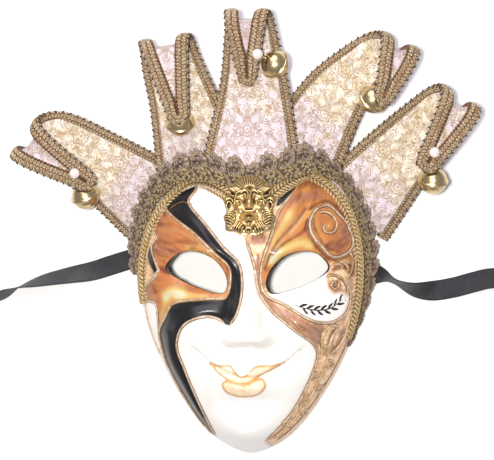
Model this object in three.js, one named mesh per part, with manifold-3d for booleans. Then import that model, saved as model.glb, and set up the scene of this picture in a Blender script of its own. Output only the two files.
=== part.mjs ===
// A Venetian jester mask: a papier-mache face with a crown of five folded, brocade-covered points.
// Millimetres, +Z up. The mask lies face up on its flat rim, with the forehead towards +Y.
// Every shape is laid out about the middle of the face, and the whole is shifted at the end so that
// the middle of the mask's own box, without its ribbons, is the origin.
import * as THREE from "three";
import { mergeVertices } from "three/addons/utils/BufferGeometryUtils.js";
import Module from "manifold-3d";

const wasm = await Module();
wasm.setup();

// Driving dimensions
const GAP = 0.3; // between pieces that touch
const SHELL_THICKNESS = 3;
const FACE_DEPTH = 54; // from the rim to the middle of the cheeks
const FACE_CENTRE = new THREE.Vector2(0, -20);
const FACE_RINGS = 13;
const FACE_SPOKES = 36;
// the rim seen from the front, from the top of the forehead round by the right cheek to the chin
const RIM_RIGHT = [[0, 84], [32, 82], [58, 71], [76, 50], [84, 22], [85, -8], [80, -38], [68.5, -68], [52, -97], [36, -118], [20, -131]];
const RIM_LEFT = [[-20, -131], [-36, -118], [-52, -97], [-68.5, -68], [-80, -38], [-85, -8], [-82.5, 20], [-73, 46], [-56, 66], [-30, 80]];
const CHIN = [0, -138];

const POINT_THICKNESS = 4;
const BRAID_THICKNESS = 6;
const BRAID_WIDTH = 9.5;
const ROLL_RADIUS = 12; // of the fold at the end of a point

const BELL_RADIUS = 9.6;
const BELL_RIM = 10.6;
const BELL_SIDES = 8;
const PEARL_RADIUS = 3.6;

const LACE_THICKNESS = 1.4;
const GOLD_BRAID_WIDTH = 7.5;
const GOLD_BRAID_HEIGHT = 2.4;
const GOLD_BRAID_REACH = 0.955; // how near the rim it comes, as a part of the way out
const CORDON_WIDTH = 3.4;
const CORDON_HEIGHT = 1.5;

const RIBBON_WIDTH = 15;
const RIBBON_THICKNESS = 1;
const COIL_INNER = 28;
const COIL_OUTER = 42;
const COIL_SIDES = 16;
const NOTCH_HEIGHT = 2;

// Meshes and solids

/** The closed body that a geometry bounds. */
function toSolid(geometry) {
  const plain = geometry.clone();
  plain.deleteAttribute("normal");
  plain.deleteAttribute("uv");
  const merged = mergeVertices(plain, 1e-4);
  return new wasm.Manifold(new wasm.Mesh({
    numProp: 3,
    vertProperties: new Float32Array(merged.attributes.position.array),
    triVerts: new Uint32Array(merged.index.array),
  }));
}

/** The geometry of a solid. */
function toGeometry(solid) {
  const mesh = solid.getMesh();
  const geometry = new THREE.BufferGeometry();
  geometry.setAttribute("position", new THREE.BufferAttribute(new Float32Array(mesh.vertProperties), 3));
  geometry.setIndex(new THREE.BufferAttribute(new Uint32Array(mesh.triVerts), 1));
  geometry.computeVertexNormals();
  return geometry;
}

/** The largest body of a solid, without loose crumbs and sealed bubbles. */
function largestBody(solid) {
  return solid.decompose().reduce((best, body) => (body.volume() > best.volume() ? body : best));
}

/** A closed geometry from points and triangles of their indices, turned so that its faces point out. */
function meshGeometry(points, triangles) {
  const volume = triangles.reduce((sum, [a, b, c]) => sum
    + points[a].dot(new THREE.Vector3().crossVectors(points[b], points[c])), 0);
  const outwards = volume > 0 ? triangles : triangles.map(([a, b, c]) => [a, c, b]);
  const geometry = new THREE.BufferGeometry();
  geometry.setAttribute("position", new THREE.Float32BufferAttribute(points.flatMap((p) => [p.x, p.y, p.z]), 3));
  geometry.setIndex(outwards.flat());
  geometry.computeVertexNormals();
  return geometry;
}

/** A closed body through a row of rings, each with the same number of points, with flat ends. */
function loft(rings) {
  const n = rings[0].length;
  const triangles = [];
  for (let i = 0; i + 1 < rings.length; i++) {
    for (let j = 0; j < n; j++) {
      const a = i * n + j;
      const b = i * n + (j + 1) % n;
      triangles.push([a, b, b + n], [a, b + n, a + n]);
    }
  }
  const last = (rings.length - 1) * n;
  for (let j = 1; j + 1 < n; j++) {
    triangles.push([0, j + 1, j], [last, last + j, last + j + 1]);
  }
  return meshGeometry(rings.flat(), triangles);
}

const smoothstep = (low, high, v) => THREE.MathUtils.smoothstep(v, low, high);

/** A smooth value between stations [position, value], straight past the ends. */
function smoothThrough(stations, s) {
  const last = stations.length - 1;
  let i = 0;
  while (i < last - 1 && s > stations[i + 1][0]) i++;
  const [s0, v0] = stations[i];
  const [s1, v1] = stations[i + 1];
  const slope = (k) => {
    const before = stations[Math.max(k - 1, 0)];
    const after = stations[Math.min(k + 1, last)];
    return (after[1] - before[1]) / (after[0] - before[0]);
  };
  const h = s1 - s0;
  const t = (s - s0) / h;
  if (t < 0) return v0 + slope(0) * (s - s0);
  if (t > 1) return v1 + slope(last) * (s - s1);
  const t2 = t * t;
  const t3 = t2 * t;
  return (2 * t3 - 3 * t2 + 1) * v0 + (t3 - 2 * t2 + t) * h * slope(i)
    + (3 * t2 - 2 * t3) * v1 + (t3 - t2) * h * slope(i + 1);
}

// The face

const rimCurve = new THREE.SplineCurve(
  [...RIM_RIGHT, CHIN, ...RIM_LEFT, RIM_RIGHT[0]].map(([x, y]) => new THREE.Vector2(x, y)));
const rimSamples = rimCurve.getPoints(400)
  .map((p) => p.sub(FACE_CENTRE))
  .map((p) => ({ angle: Math.atan2(p.y, p.x), radius: p.length() }))
  .sort((a, b) => a.angle - b.angle);

/** The distance from the middle of the face to its rim, in a direction. */
function rimRadius(angle) {
  const wrapped = Math.atan2(Math.sin(angle), Math.cos(angle));
  let next = rimSamples.findIndex((s) => s.angle >= wrapped);
  if (next < 0) next = 0;
  const a = rimSamples[(next + rimSamples.length - 1) % rimSamples.length];
  const b = rimSamples[next];
  const span = THREE.MathUtils.euclideanModulo(b.angle - a.angle, 2 * Math.PI);
  const part = THREE.MathUtils.euclideanModulo(wrapped - a.angle, 2 * Math.PI) / Math.max(span, 1e-9);
  return THREE.MathUtils.lerp(a.radius, b.radius, part);
}

// soft swellings and hollows: middle, half-widths and height, the same on both sides of the nose
const SWELLINGS = [
  { at: [28, 15], size: [22, 9], rise: 4.5 }, // brows
  { at: [34, -3], size: [18, 12], rise: -8 }, // eye sockets
  { at: [11.5, -45], size: [6, 6.5], rise: 9 }, // wings of the nose
  { at: [0, -74], size: [30, 15], rise: 5 }, // mouth
  { at: [37, -38], size: [17, 15], rise: 8 }, // cheeks
  { at: [0, -112], size: [19, 15], rise: 11 }, // chin
  { at: [0, -78.5], size: [15, 5.5], rise: 5.5 }, // lower lip
  { at: [0, -92], size: [18, 5], rise: -2.5 }, // under the lip
];
const NOSE = { root: 10, tip: -42, base: -53, rootWidth: 5.5, tipWidth: 12, rootRise: 3, tipRise: 22 };
const MOUTH = { middle: -73, smile: 19.5, halfWidth: 38, lip: 3.6, crease: 3.2 };

/** The height of the face's outer surface over a point of the ground plan. */
function faceHeight(x, y) {
  const dx = x - FACE_CENTRE.x;
  const dy = y - FACE_CENTRE.y;
  const rho = Math.min(Math.hypot(dx, dy) / rimRadius(Math.atan2(dy, dx)), 1);
  const side = Math.abs(x);
  let relief = 0;
  for (const { at, size, rise } of SWELLINGS) {
    relief += rise * Math.exp(-(((side - at[0]) / size[0]) ** 2) - ((y - at[1]) / size[1]) ** 2);
  }
  const along = 1 - smoothstep(NOSE.tip, NOSE.root, y);
  const noseWidth = THREE.MathUtils.lerp(NOSE.rootWidth, NOSE.tipWidth, along);
  const noseEnds = smoothstep(NOSE.base, NOSE.tip - 1, y) * (1 - smoothstep(4, 14, y));
  relief += (NOSE.rootRise + NOSE.tipRise * along ** 1.15) * noseEnds * Math.exp(-((side / noseWidth) ** 2.2));
  const fromMouth = y - MOUTH.middle - MOUTH.smile * (Math.min(side, 42) / MOUTH.halfWidth) ** 1.7;
  relief += MOUTH.lip * Math.exp(-(((fromMouth - 4.5) / 4) ** 2)) * (1 - smoothstep(26, 40, side));
  relief -= MOUTH.crease * Math.exp(-((fromMouth / 1.5) ** 2)) * (1 - smoothstep(34, 42, side));
  const dome = FACE_DEPTH * Math.max(1 - rho ** 3, 0) ** 0.6;
  return dome + relief * (1 - smoothstep(0.82, 1, rho));
}

/** A point of the face's surface and its outward direction; a point too near the rim is drawn in. */
function onFace(x, y, limit = 0.985) {
  const plan = new THREE.Vector2(x, y).sub(FACE_CENTRE);
  const reach = rimRadius(plan.angle());
  plan.clampLength(0, limit * reach).add(FACE_CENTRE);
  const step = 0.4;
  const slopeX = (faceHeight(plan.x + step, plan.y) - faceHeight(plan.x - step, plan.y)) / (2 * step);
  const slopeY = (faceHeight(plan.x, plan.y + step) - faceHeight(plan.x, plan.y - step)) / (2 * step);
  const point = new THREE.Vector3(plan.x, plan.y, faceHeight(plan.x, plan.y));
  return { point, normal: new THREE.Vector3(-slopeX, -slopeY, 1).normalize() };
}

/** How far out each ring of the face lies: even over the nose and mouth, closer towards the rim. */
function ringShare(ring) {
  const t = ring / FACE_RINGS;
  return t < 0.5 ? t : 0.5 + 0.5 * Math.sin(Math.PI * (t - 0.5));
}

/** The rows of points of the face's outer surface, from the middle out to the rim on the floor. */
function faceRows() {
  const rows = [];
  for (let ring = 1; ring <= FACE_RINGS; ring++) {
    const row = [];
    for (let spoke = 0; spoke < FACE_SPOKES; spoke++) {
      const angle = 2 * Math.PI * spoke / FACE_SPOKES;
      const radius = rimRadius(angle) * ringShare(ring);
      const x = FACE_CENTRE.x + radius * Math.cos(angle);
      const y = FACE_CENTRE.y + radius * Math.sin(angle);
      row.push(new THREE.Vector3(x, y, ring === FACE_RINGS ? 0 : faceHeight(x, y)));
    }
    rows.push(row);
  }
  return rows;
}

/** The outward direction at each point of the rows, evened out so that an offset doesn't fold. */
function rowNormals(rows) {
  let normals = rows.map((row, i) => row.map((p, j) => {
    const around = new THREE.Vector3().subVectors(row[(j + 1) % row.length], row[(j + row.length - 1) % row.length]);
    const inner = rows[Math.max(i - 1, 0)][j];
    const outer = rows[Math.min(i + 1, rows.length - 1)][j];
    const outwards = new THREE.Vector3().subVectors(outer, inner);
    return outwards.cross(around).normalize();
  }));
  for (let pass = 0; pass < 2; pass++) {
    normals = normals.map((row, i) => row.map((n, j) => {
      const sum = n.clone().multiplyScalar(2)
        .add(row[(j + 1) % row.length]).add(row[(j + row.length - 1) % row.length])
        .add(normals[Math.max(i - 1, 0)][j]).add(normals[Math.min(i + 1, rows.length - 1)][j]);
      return sum.normalize();
    }));
  }
  return normals;
}

/** Rows moved along their outward directions, with the last row kept level on the floor. */
function offsetRows(rows, distance) {
  const normals = rowNormals(rows);
  return rows.map((row, i) => row.map((p, j) => {
    const moved = p.clone().addScaledVector(normals[i][j], distance);
    if (i === rows.length - 1) {
      const outwards = new THREE.Vector3(normals[i][j].x, normals[i][j].y, 0).normalize();
      moved.copy(p).addScaledVector(outwards, distance);
    }
    moved.z = Math.max(moved.z, 0);
    return moved;
  }));
}

/** The middle point of a dome of rows. */
const crownOf = (distance) => new THREE.Vector3(FACE_CENTRE.x, FACE_CENTRE.y,
  faceHeight(FACE_CENTRE.x, FACE_CENTRE.y) + distance);

/** The triangles of a dome: a fan at the middle and quads out to the rim. */
function domeTriangles(start, rings, flip) {
  const n = FACE_SPOKES;
  const triangles = [];
  for (let j = 0; j < n; j++) {
    const k = (j + 1) % n;
    triangles.push([start, start + 1 + j, start + 1 + k]);
    for (let i = 0; i + 1 < rings; i++) {
      const a = start + 1 + i * n + j;
      const b = start + 1 + i * n + k;
      triangles.push([a, a + n, b + n], [a, b + n, b]);
    }
  }
  return flip ? triangles.map(([a, b, c]) => [a, c, b]) : triangles;
}

/** The whole space under the face, grown by a distance, to cut what rests on it. */
function faceFill(distance) {
  const rows = offsetRows(faceRows(), distance);
  const points = [crownOf(distance), ...rows.flat(), new THREE.Vector3(FACE_CENTRE.x, FACE_CENTRE.y, 0)];
  const triangles = domeTriangles(0, rows.length, false);
  const rim = 1 + (rows.length - 1) * FACE_SPOKES;
  const middle = points.length - 1;
  for (let j = 0; j < FACE_SPOKES; j++) {
    triangles.push([middle, rim + (j + 1) % FACE_SPOKES, rim + j]);
  }
  return toSolid(meshGeometry(points, triangles));
}

/** The hollow shell, without its eye holes. */
function hollowShell() {
  const outer = faceRows();
  const inner = offsetRows(outer, -SHELL_THICKNESS);
  const points = [crownOf(0), ...outer.flat(), crownOf(-SHELL_THICKNESS), ...inner.flat()];
  const innerStart = 1 + FACE_RINGS * FACE_SPOKES;
  const triangles = [
    ...domeTriangles(0, FACE_RINGS, false),
    ...domeTriangles(innerStart, FACE_RINGS, true),
  ];
  const outerRim = 1 + (FACE_RINGS - 1) * FACE_SPOKES;
  const innerRim = innerStart + outerRim;
  for (let j = 0; j < FACE_SPOKES; j++) {
    const k = (j + 1) % FACE_SPOKES;
    triangles.push([outerRim + j, innerRim + j, innerRim + k], [outerRim + j, innerRim + k, outerRim + k]);
  }
  return toSolid(meshGeometry(points, triangles));
}

// one eye hole, on the right; the left one is its mirror image
const EYE = [[57, 2], [53, 10], [44, 14.5], [33, 14], [23.5, 9.5], [16.5, 1], [14, -8], [17.5, -14.2], [30, -12], [45, -6.5]];

/** A block through the shell with the outline of an eye. */
function eyeCutter(sign) {
  const outline = new THREE.SplineCurve([...EYE, EYE[0]].map(([x, y]) => new THREE.Vector2(sign * x, y)));
  const shape = new THREE.Shape(outline.getPoints(30).slice(0, -1));
  return toSolid(new THREE.ExtrudeGeometry(shape, { depth: 60, bevelEnabled: false }).translate(0, 0, 15));
}

// the raised gesso cordons, each through a few points of the ground plan
const CORDONS = [
  [[-39, 58], [-42, 47], [-31, 35], [-16, 17], [-5.5, 6], [-2.8, -11], [-5.6, -26], [-11, -35]],
  [[-14, -35], [-28, -30], [-45, -38], [-50, -53], [-45, -70], [-37, -91], [-28, -113], [-25, -124]],
  [[-63, 47], [-52, 37], [-38, 27], [-23, 14], [-12, 3], [-12, -14]],
  [[-14.5, -18], [-36, -19], [-53, -22.5], [-59, -33], [-64, -46], [-60, -70], [-49, -91], [-34, -115]],
  [[-61, 48], [-70, 33], [-66, 24], [-70, 15], [-65, 2], [-72, -8], [-75, -20], [-66, -26], [-65, -43]],
  [[31, 56], [22, 42], [16, 22], [10, 5], [11, -12], [26, -22], [43, -32], [60, -35], [71, -26], [72, -16], [66, -6]],
  [[-1, 23], [5, 5], [8, -13], [17, -25], [33, -39], [48, -52], [46, -71], [31, -100], [12, -122]],
];
const VOLUTE = { middle: [59, 28], outerRadius: 18, innerRadius: 5, turns: 1.6, start: -0.9, squeeze: 0.86 };

/** The ground plan of the large spiral beside the right eye. */
function volutePlan() {
  const steps = 20;
  return Array.from({ length: steps + 1 }, (_, i) => {
    const t = i / steps;
    const radius = THREE.MathUtils.lerp(VOLUTE.outerRadius, VOLUTE.innerRadius, t ** 0.8);
    const angle = VOLUTE.start - 2 * Math.PI * VOLUTE.turns * t;
    return [VOLUTE.middle[0] + VOLUTE.squeeze * radius * Math.cos(angle), VOLUTE.middle[1] + radius * Math.sin(angle)];
  });
}

/** Points of the ground plan at even steps along a smooth line through the given ones. */
function evenPlan(points, spacing) {
  const curve = new THREE.CatmullRomCurve3(points.map(([x, y]) => new THREE.Vector3(x, y, 0)), false, "centripetal");
  return curve.getSpacedPoints(Math.max(2, Math.round(curve.getLength() / spacing)));
}

/** A ridge that follows the face, from a profile of [across, up] pairs. */
function ridgeOnFace(plan, profile, limit) {
  const spots = plan.map((p) => onFace(p.x, p.y, limit));
  return loft(spots.map(({ point, normal }, i) => {
    const before = spots[Math.max(i - 1, 0)].point;
    const after = spots[Math.min(i + 1, spots.length - 1)].point;
    const across = new THREE.Vector3().subVectors(after, before).cross(normal).normalize();
    return profile.map(([side, up]) => point.clone().addScaledVector(across, side).addScaledVector(normal, up));
  }));
}

/** The face with its eye holes, its cordons and the two notches for the ribbons. */
function faceShell() {
  const half = CORDON_WIDTH / 2;
  const profile = [[half, -0.6], [0, CORDON_HEIGHT], [-half, -0.6], [0, -1.4]];
  let face = hollowShell();
  for (const plan of CORDONS) {
    face = face.add(toSolid(ridgeOnFace(evenPlan(plan, 14), profile)));
  }
  face = face.add(toSolid(ridgeOnFace(evenPlan(volutePlan(), 9), profile)));
  for (const sign of [-1, 1]) {
    face = face.subtract(eyeCutter(sign));
  }
  for (const { exit } of Object.values(RIBBONS)) {
    const notch = new THREE.BoxGeometry(30, RIBBON_WIDTH + 2, 2 * NOTCH_HEIGHT).translate(exit[0], exit[1], 0);
    face = face.subtract(toSolid(notch));
  }
  return toGeometry(largestBody(face));
}

// The points of the crown

// fold: the outermost middle of the fold; lean: the direction it points, in degrees; heights of its
// root, of the start of the roll and of the tip; root and tip: how far back from the fold they lie;
// left and right: where the edges lie across, at the root, halfway, where the roll starts, at its
// crest, where it ends, and at the tip; beside: the point whose edge its root is cut to
const POINTS = [
  { fold: [-156.6, 94.2], lean: 144.2, heights: [5, 38, 51], root: 92, tip: 56,
    left: [20.5, 12, 14, 16, 16, 6], right: [-47, -39, -32, -19.5, -13, -8], beside: 1 },
  { fold: [-57.7, 163], lean: 98, heights: [18, 36, 52], root: 93, tip: 57.5,
    left: [24, 20.5, 21, 18.8, 15, 5], right: [-45, -31.6, -22, -18.8, -16, -9.5] },
  { fold: [0.9, 177.5], lean: 89, heights: [30, 50, 57], root: 103.5, tip: 46.5,
    left: [34, 20, 16.8, 15.6, 14, 5.5], right: [-38.5, -28.5, -20.3, -15.6, -12.5, -6.3] },
  { fold: [103.5, 159.1], lean: 63, heights: [18, 36, 55], root: 95, tip: 43,
    left: [56, 46, 29, 15.2, 8, -3.5], right: [-5.5, -1.5, -9, -15.2, -18.2, -15] },
  { fold: [144.5, 120.2], lean: 57.5, heights: [5, 38, 51], root: 103, tip: 52,
    left: [53, 36, 24.5, 16.3, 10, 1.5], right: [-17, -15, -14, -16.3, -18.2, -14.5], beside: 3 },
];
const HALFWAY = 45; // how far back from the fold the halfway width is taken

/** The side view of a point: rows of distance out, height, upward direction and length so far. */
function pointProfile({ heights, root, tip }) {
  const [rootZ, rollZ, tipZ] = heights;
  const rows = [];
  const straight = 3;
  for (let i = 0; i < straight; i++) {
    const t = i / straight;
    rows.push([THREE.MathUtils.lerp(-root, -ROLL_RADIUS, t), THREE.MathUtils.lerp(rootZ, rollZ, t)]);
  }
  const roll = 6;
  for (let i = 0; i <= roll; i++) {
    const angle = Math.PI * (i / roll - 0.5);
    rows.push([-ROLL_RADIUS + ROLL_RADIUS * Math.cos(angle), rollZ + ROLL_RADIUS * (1 + Math.sin(angle))]);
  }
  const back = 3;
  for (let i = 1; i <= back; i++) {
    const t = i / back;
    rows.push([THREE.MathUtils.lerp(-ROLL_RADIUS, -tip, t), THREE.MathUtils.lerp(rollZ + 2 * ROLL_RADIUS, tipZ, t)]);
  }
  const points = rows.map(([out, z]) => new THREE.Vector2(out, z));
  let length = 0;
  return points.map((p, i) => {
    if (i > 0) length += p.distanceTo(points[i - 1]);
    const before = points[Math.max(i - 1, 0)];
    const after = points[Math.min(i + 1, points.length - 1)];
    const along = after.clone().sub(before).normalize();
    return { out: p.x, z: p.y, up: new THREE.Vector2(-along.y, along.x), length };
  });
}

/** The edges of a point over the length of its side view. */
function pointEdges(point, profile) {
  const total = profile.at(-1).length;
  const rollStart = profile.find((row) => row.out >= -ROLL_RADIUS - 1e-6).length;
  const rollLength = Math.PI * ROLL_RADIUS;
  const stations = [0, rollStart * (1 - (HALFWAY - ROLL_RADIUS) / (point.root - ROLL_RADIUS)), rollStart,
    rollStart + rollLength / 2, rollStart + rollLength, total];
  const edge = (values) => (s) => smoothThrough(stations.map((at, i) => [at, values[i]]), s);
  return { left: edge(point.left), right: edge(point.right), total };
}

/** A place on a point, in the frame of the whole: distance out, across to the left, and height. */
function placeOnPoint(point, out, across, z) {
  const lean = THREE.MathUtils.degToRad(point.lean);
  return new THREE.Vector3(
    point.fold[0] + out * Math.cos(lean) - across * Math.sin(lean),
    point.fold[1] + out * Math.sin(lean) + across * Math.cos(lean), z);
}

/** A slab along a point, narrowed by inset at both edges, up to an end length less a short piece. */
function pointSlab(point, { inset, thickness, end = Infinity, rootExtra = 0, short = 0 }) {
  const profile = pointProfile(point);
  const { left, right, total } = pointEdges(point, profile);
  const limit = Math.min(end, total);
  const rows = profile.filter((row) => row.length < limit - 2);
  const before = profile.filter((row) => row.length < limit).at(-1);
  const after = profile[Math.min(profile.indexOf(before) + 1, profile.length - 1)];
  const part = (limit - before.length) / Math.max(after.length - before.length, 1e-9);
  rows.push({ out: THREE.MathUtils.lerp(before.out, after.out, part), z: THREE.MathUtils.lerp(before.z, after.z, part),
    up: after.up, length: limit });
  const half = thickness / 2;
  const rings = rows.map(({ out, z, up, length }) => {
    const l = left(length) - inset;
    const r = Math.min(right(length) + inset, l - 0.5);
    const corner = (across, side) => placeOnPoint(point, out + side * up.x, across, z + side * up.y);
    return [corner(l, half), corner(l, -half), corner(r, -half), corner(r, half)];
  });
  const pull = short / (rows.at(-1).length - rows.at(-2).length);
  rings.at(-1).forEach((corner, i) => corner.lerp(rings.at(-2)[i], pull));
  rings[0].forEach((corner, i) => corner.lerp(rings[1][i], -rootExtra / rows[1].length));
  return loft(rings);
}

/** The straight part of a point as a tall block, to cut what would run into it from beside. */
function besideCutter(point) {
  const profile = pointProfile(point);
  const end = profile.find((row) => row.out >= -ROLL_RADIUS - 1e-6).length - 1;
  return toSolid(pointSlab(point, { inset: -GAP, thickness: 50, end, rootExtra: 20 }));
}

/** How far along a point the brocade ends, where the two braids meet. */
function brocadeEnd(point) {
  const profile = pointProfile(point);
  const { left, right, total } = pointEdges(point, profile);
  const narrowest = 2;
  let s = profile.find((row) => row.out > -1).length;
  while (s < total && left(s) - right(s) > 2 * BRAID_WIDTH + narrowest) s += 0.5;
  return s;
}

const faceCutter = faceFill(GAP);

/** A solid of a point, cut off where it meets the face and the neighbour that it tucks in beside. */
function seatedOnFace(solid, point) {
  const seated = solid.subtract(faceCutter);
  return point.beside === undefined ? seated : largestBody(seated.subtract(besideCutter(POINTS[point.beside])));
}

/** The brocade-covered middle of a point. */
function brocadePoint(point) {
  const slab = pointSlab(point, { inset: BRAID_WIDTH + GAP, thickness: POINT_THICKNESS,
    end: brocadeEnd(point), short: 2 * GAP });
  return toGeometry(seatedOnFace(toSolid(slab), point));
}

/** The braid along both edges of a point and round its tip. */
function pointBraid(point) {
  const whole = toSolid(pointSlab(point, { inset: 0, thickness: BRAID_THICKNESS }));
  const middle = toSolid(pointSlab(point, { inset: BRAID_WIDTH - GAP, thickness: BRAID_THICKNESS + 2 * GAP,
    end: brocadeEnd(point), rootExtra: 5 }));
  return toGeometry(seatedOnFace(whole.subtract(middle), point));
}

// Bells and pearls

// for each point: the bell's middle and the place on the folded end that it hangs from, both as
// distance out, across and height; pearl: the place of the pearl, where there is one
const HANGINGS = [
  { bell: [-56, 9.3, 40], from: [-52, 2, 51], pearl: [-45.6, -1.4] },
  { bell: [-57.8, -0.9, 37.8], from: [-56, -1, 52] },
  { bell: [-33.5, -19, 54], from: [-33.5, -7, 60], pearl: [-30.4, -7.7] },
  { bell: [-41.3, -2.8, 41], from: [-41.5, -7, 55] },
  { bell: [-55.6, -17.2, 40], from: [-49, -10, 51], pearl: [-42, -5.5] },
];

/** A jingle bell with a rim round its middle and a stalk up to what it hangs from. */
function bell(point, { bell: middle, from }) {
  const centre = placeOnPoint(point, ...middle);
  const stalk = placeOnPoint(point, ...from).sub(centre);
  const profile = [new THREE.Vector2(0, -BELL_RADIUS)];
  for (const degrees of [-68, -42, -16]) {
    const angle = THREE.MathUtils.degToRad(degrees);
    profile.push(new THREE.Vector2(BELL_RADIUS * Math.cos(angle), BELL_RADIUS * Math.sin(angle)));
  }
  profile.push(new THREE.Vector2(BELL_RIM, -0.8), new THREE.Vector2(BELL_RIM, 0.8));
  for (const degrees of [16, 42, 68]) {
    const angle = THREE.MathUtils.degToRad(degrees);
    profile.push(new THREE.Vector2(BELL_RADIUS * Math.cos(angle), BELL_RADIUS * Math.sin(angle)));
  }
  const stalkRadius = 2;
  profile.push(new THREE.Vector2(stalkRadius, BELL_RADIUS), new THREE.Vector2(stalkRadius, stalk.length()),
    new THREE.Vector2(0, stalk.length()));
  const turn = new THREE.Quaternion().setFromUnitVectors(new THREE.Vector3(0, 1, 0), stalk.clone().normalize());
  const geometry = new THREE.LatheGeometry(profile, BELL_SIDES).applyQuaternion(turn).translate(...centre.toArray());
  const clear = toSolid(pointSlab(point, { inset: -GAP, thickness: BRAID_THICKNESS + 2 * GAP }));
  return toGeometry(largestBody(toSolid(geometry).subtract(clear)));
}

/** The height of a point's folded end over a place, at the middle of its thickness. */
function foldedHeight({ heights, tip }, out) {
  const [, rollZ, tipZ] = heights;
  return THREE.MathUtils.mapLinear(out, -ROLL_RADIUS, -tip, rollZ + 2 * ROLL_RADIUS, tipZ);
}

/** A pearl sewn on the folded end of a point. */
function pearl(point, [out, across]) {
  const z = foldedHeight(point, out) + BRAID_THICKNESS / 2 + 3 * GAP + PEARL_RADIUS;
  return new THREE.SphereGeometry(PEARL_RADIUS, 8, 6).translate(...placeOnPoint(point, out, across, z).toArray());
}

// Trims of the face

const GOLD_BRAID = [[-77, -24], [-82.5, -4], [-81, 20], [-76, 37], [-66, 53], [-55, 60], [-43, 63.5], [-31, 63], [-20, 58],
  [-8, 50], [2, 47], [13, 51], [25, 60.5], [36, 67], [47, 69], [58, 65], [68, 57], [75.5, 44], [80.5, 28], [83.5, 8],
  [83.5, -12], [80.5, -30], [74, -50]];

// the outer and inner edge of the lace, from the left temple over the forehead to the right cheek:
// [outer x, outer y, outer z, inner x, inner y, inner z], or higher where the face is
const LACE = [
  [-90, -4, 9, -83, -4, 10], [-92, 12, 10, -82.5, 12, 10], [-91, 28, 14, -80, 25, 15], [-86, 48, 19, -75, 41, 17],
  [-77, 63, 24, -69, 52, 20], [-65, 76, 29, -60, 60, 26], [-50, 85, 36, -50, 66, 34], [-35, 87, 40, -35, 67.5, 37],
  [-20, 83, 39, -24, 65, 38], [-6, 82, 38, -11, 62, 37], [1, 76, 36, 1, 61, 37], [8, 84, 38, 14, 63, 37],
  [22, 85, 40, 23, 67, 38], [33, 91, 42, 31, 69, 37], [47, 89, 41, 45, 72, 36], [62, 79, 33, 57, 69, 29],
  [75, 66, 26, 67.5, 60.5, 21], [87, 46, 20, 76, 46, 17], [92, 30, 15, 81, 32, 14], [95, 9, 11, 84, 12, 10],
  [93, -6, 9, 84.5, -10, 8], [88, -24, 8, 82, -26, 8], [82, -40, 7, 77.5, -40, 7], [74, -57, 7, 71, -56, 7],
];

/** The lace: a band from the edge of the gold braid out over the roots of the points, with scallops. */
function laceTrim() {
  const curve = (column) => new THREE.CatmullRomCurve3(
    LACE.map((row) => new THREE.Vector3(...column(row))), false, "centripetal");
  const outer = curve(([x, y, z]) => [x, y, z]);
  const inner = curve(([, , , x, y, z]) => [x, y, Math.max(z, onFace(x, y).point.z + LACE_THICKNESS)]);
  const scallops = 27;
  const rings = [];
  for (let i = 0; i <= 2 * scallops; i++) {
    const near = inner.getPoint(i / (2 * scallops));
    const far = outer.getPoint(i / (2 * scallops));
    if (i % 2 === 0) far.lerp(near, 0.2);
    const lift = new THREE.Vector3(0, 0, LACE_THICKNESS);
    rings.push([far, near, near.clone().add(lift), far.clone().add(lift)]);
  }
  return toGeometry(largestBody(toSolid(loft(rings)).subtract(faceCutter).subtract(goldBraid(GAP))));
}

/** The gold braid glued along the edge of the face, grown on all sides by a margin. */
function goldBraid(margin) {
  const half = GOLD_BRAID_WIDTH / 2 + margin;
  const low = GAP - margin;
  const high = GAP + GOLD_BRAID_HEIGHT + margin;
  const profile = [[half, low], [half * 0.6, high], [-half * 0.6, high], [-half, low]];
  return toSolid(ridgeOnFace(evenPlan(GOLD_BRAID, 12), profile, GOLD_BRAID_REACH)).subtract(faceCutter);
}

// The medallion

const MEDALLION = { at: [1.5, 45.5], width: 37, length: 46, base: 3, relief: 8, lift: 3.4 };
// the outline from the top down one side, as parts of the half-width and half-length: crest, ear,
// curl beside the eye, mane, lock of the beard and beard
const LION_OUTLINE = [[0, 1], [0.3, 0.93], [0.54, 0.79], [0.56, 0.66], [0.86, 0.62], [0.77, 0.37], [0.99, 0.17],
  [0.86, -0.13], [0.98, -0.34], [0.91, -0.51], [0.88, -0.72], [0.5, -0.83], [0.27, -0.98], [0, -0.93]];
// swellings of the lion's face as parts of the half-width and half-length
const LION = [
  { at: [0, 0.05], size: [0.45, 0.62], rise: 0.35 }, // the face
  { at: [0, 0.3], size: [0.13, 0.32], rise: 0.35 }, // nose
  { at: [0.41, 0.15], size: [0.18, 0.15], rise: 0.35 }, // eyes
  { at: [0.8, 0.12], size: [0.16, 0.2], rise: 0.3 }, // curls beside the eyes
  { at: [0, -0.2], size: [0.32, 0.15], rise: 0.3 }, // muzzle
  { at: [0, -0.62], size: [0.17, 0.26], rise: 0.35 }, // chin
  { at: [0.72, 0.5], size: [0.18, 0.14], rise: 0.3 }, // ears
  { at: [0.74, -0.38], size: [0.2, 0.26], rise: 0.35 }, // mane
  { at: [0, 0.8], size: [0.42, 0.16], rise: 0.4 }, // crest
  { at: [0.6, -0.72], size: [0.26, 0.12], rise: 0.3 }, // locks of the beard
];

/** The relief of the medallion over its back, for a place in parts of its half-width and half-length. */
function lionHeight(u, v, edge) {
  let rise = 0.1;
  for (const { at, size, rise: height } of LION) {
    rise += height * Math.exp(-(((Math.abs(u) - at[0]) / size[0]) ** 2) - ((v - at[1]) / size[1]) ** 2);
  }
  return MEDALLION.base + MEDALLION.relief * rise * (1 - smoothstep(0.75, 1, edge));
}

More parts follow.
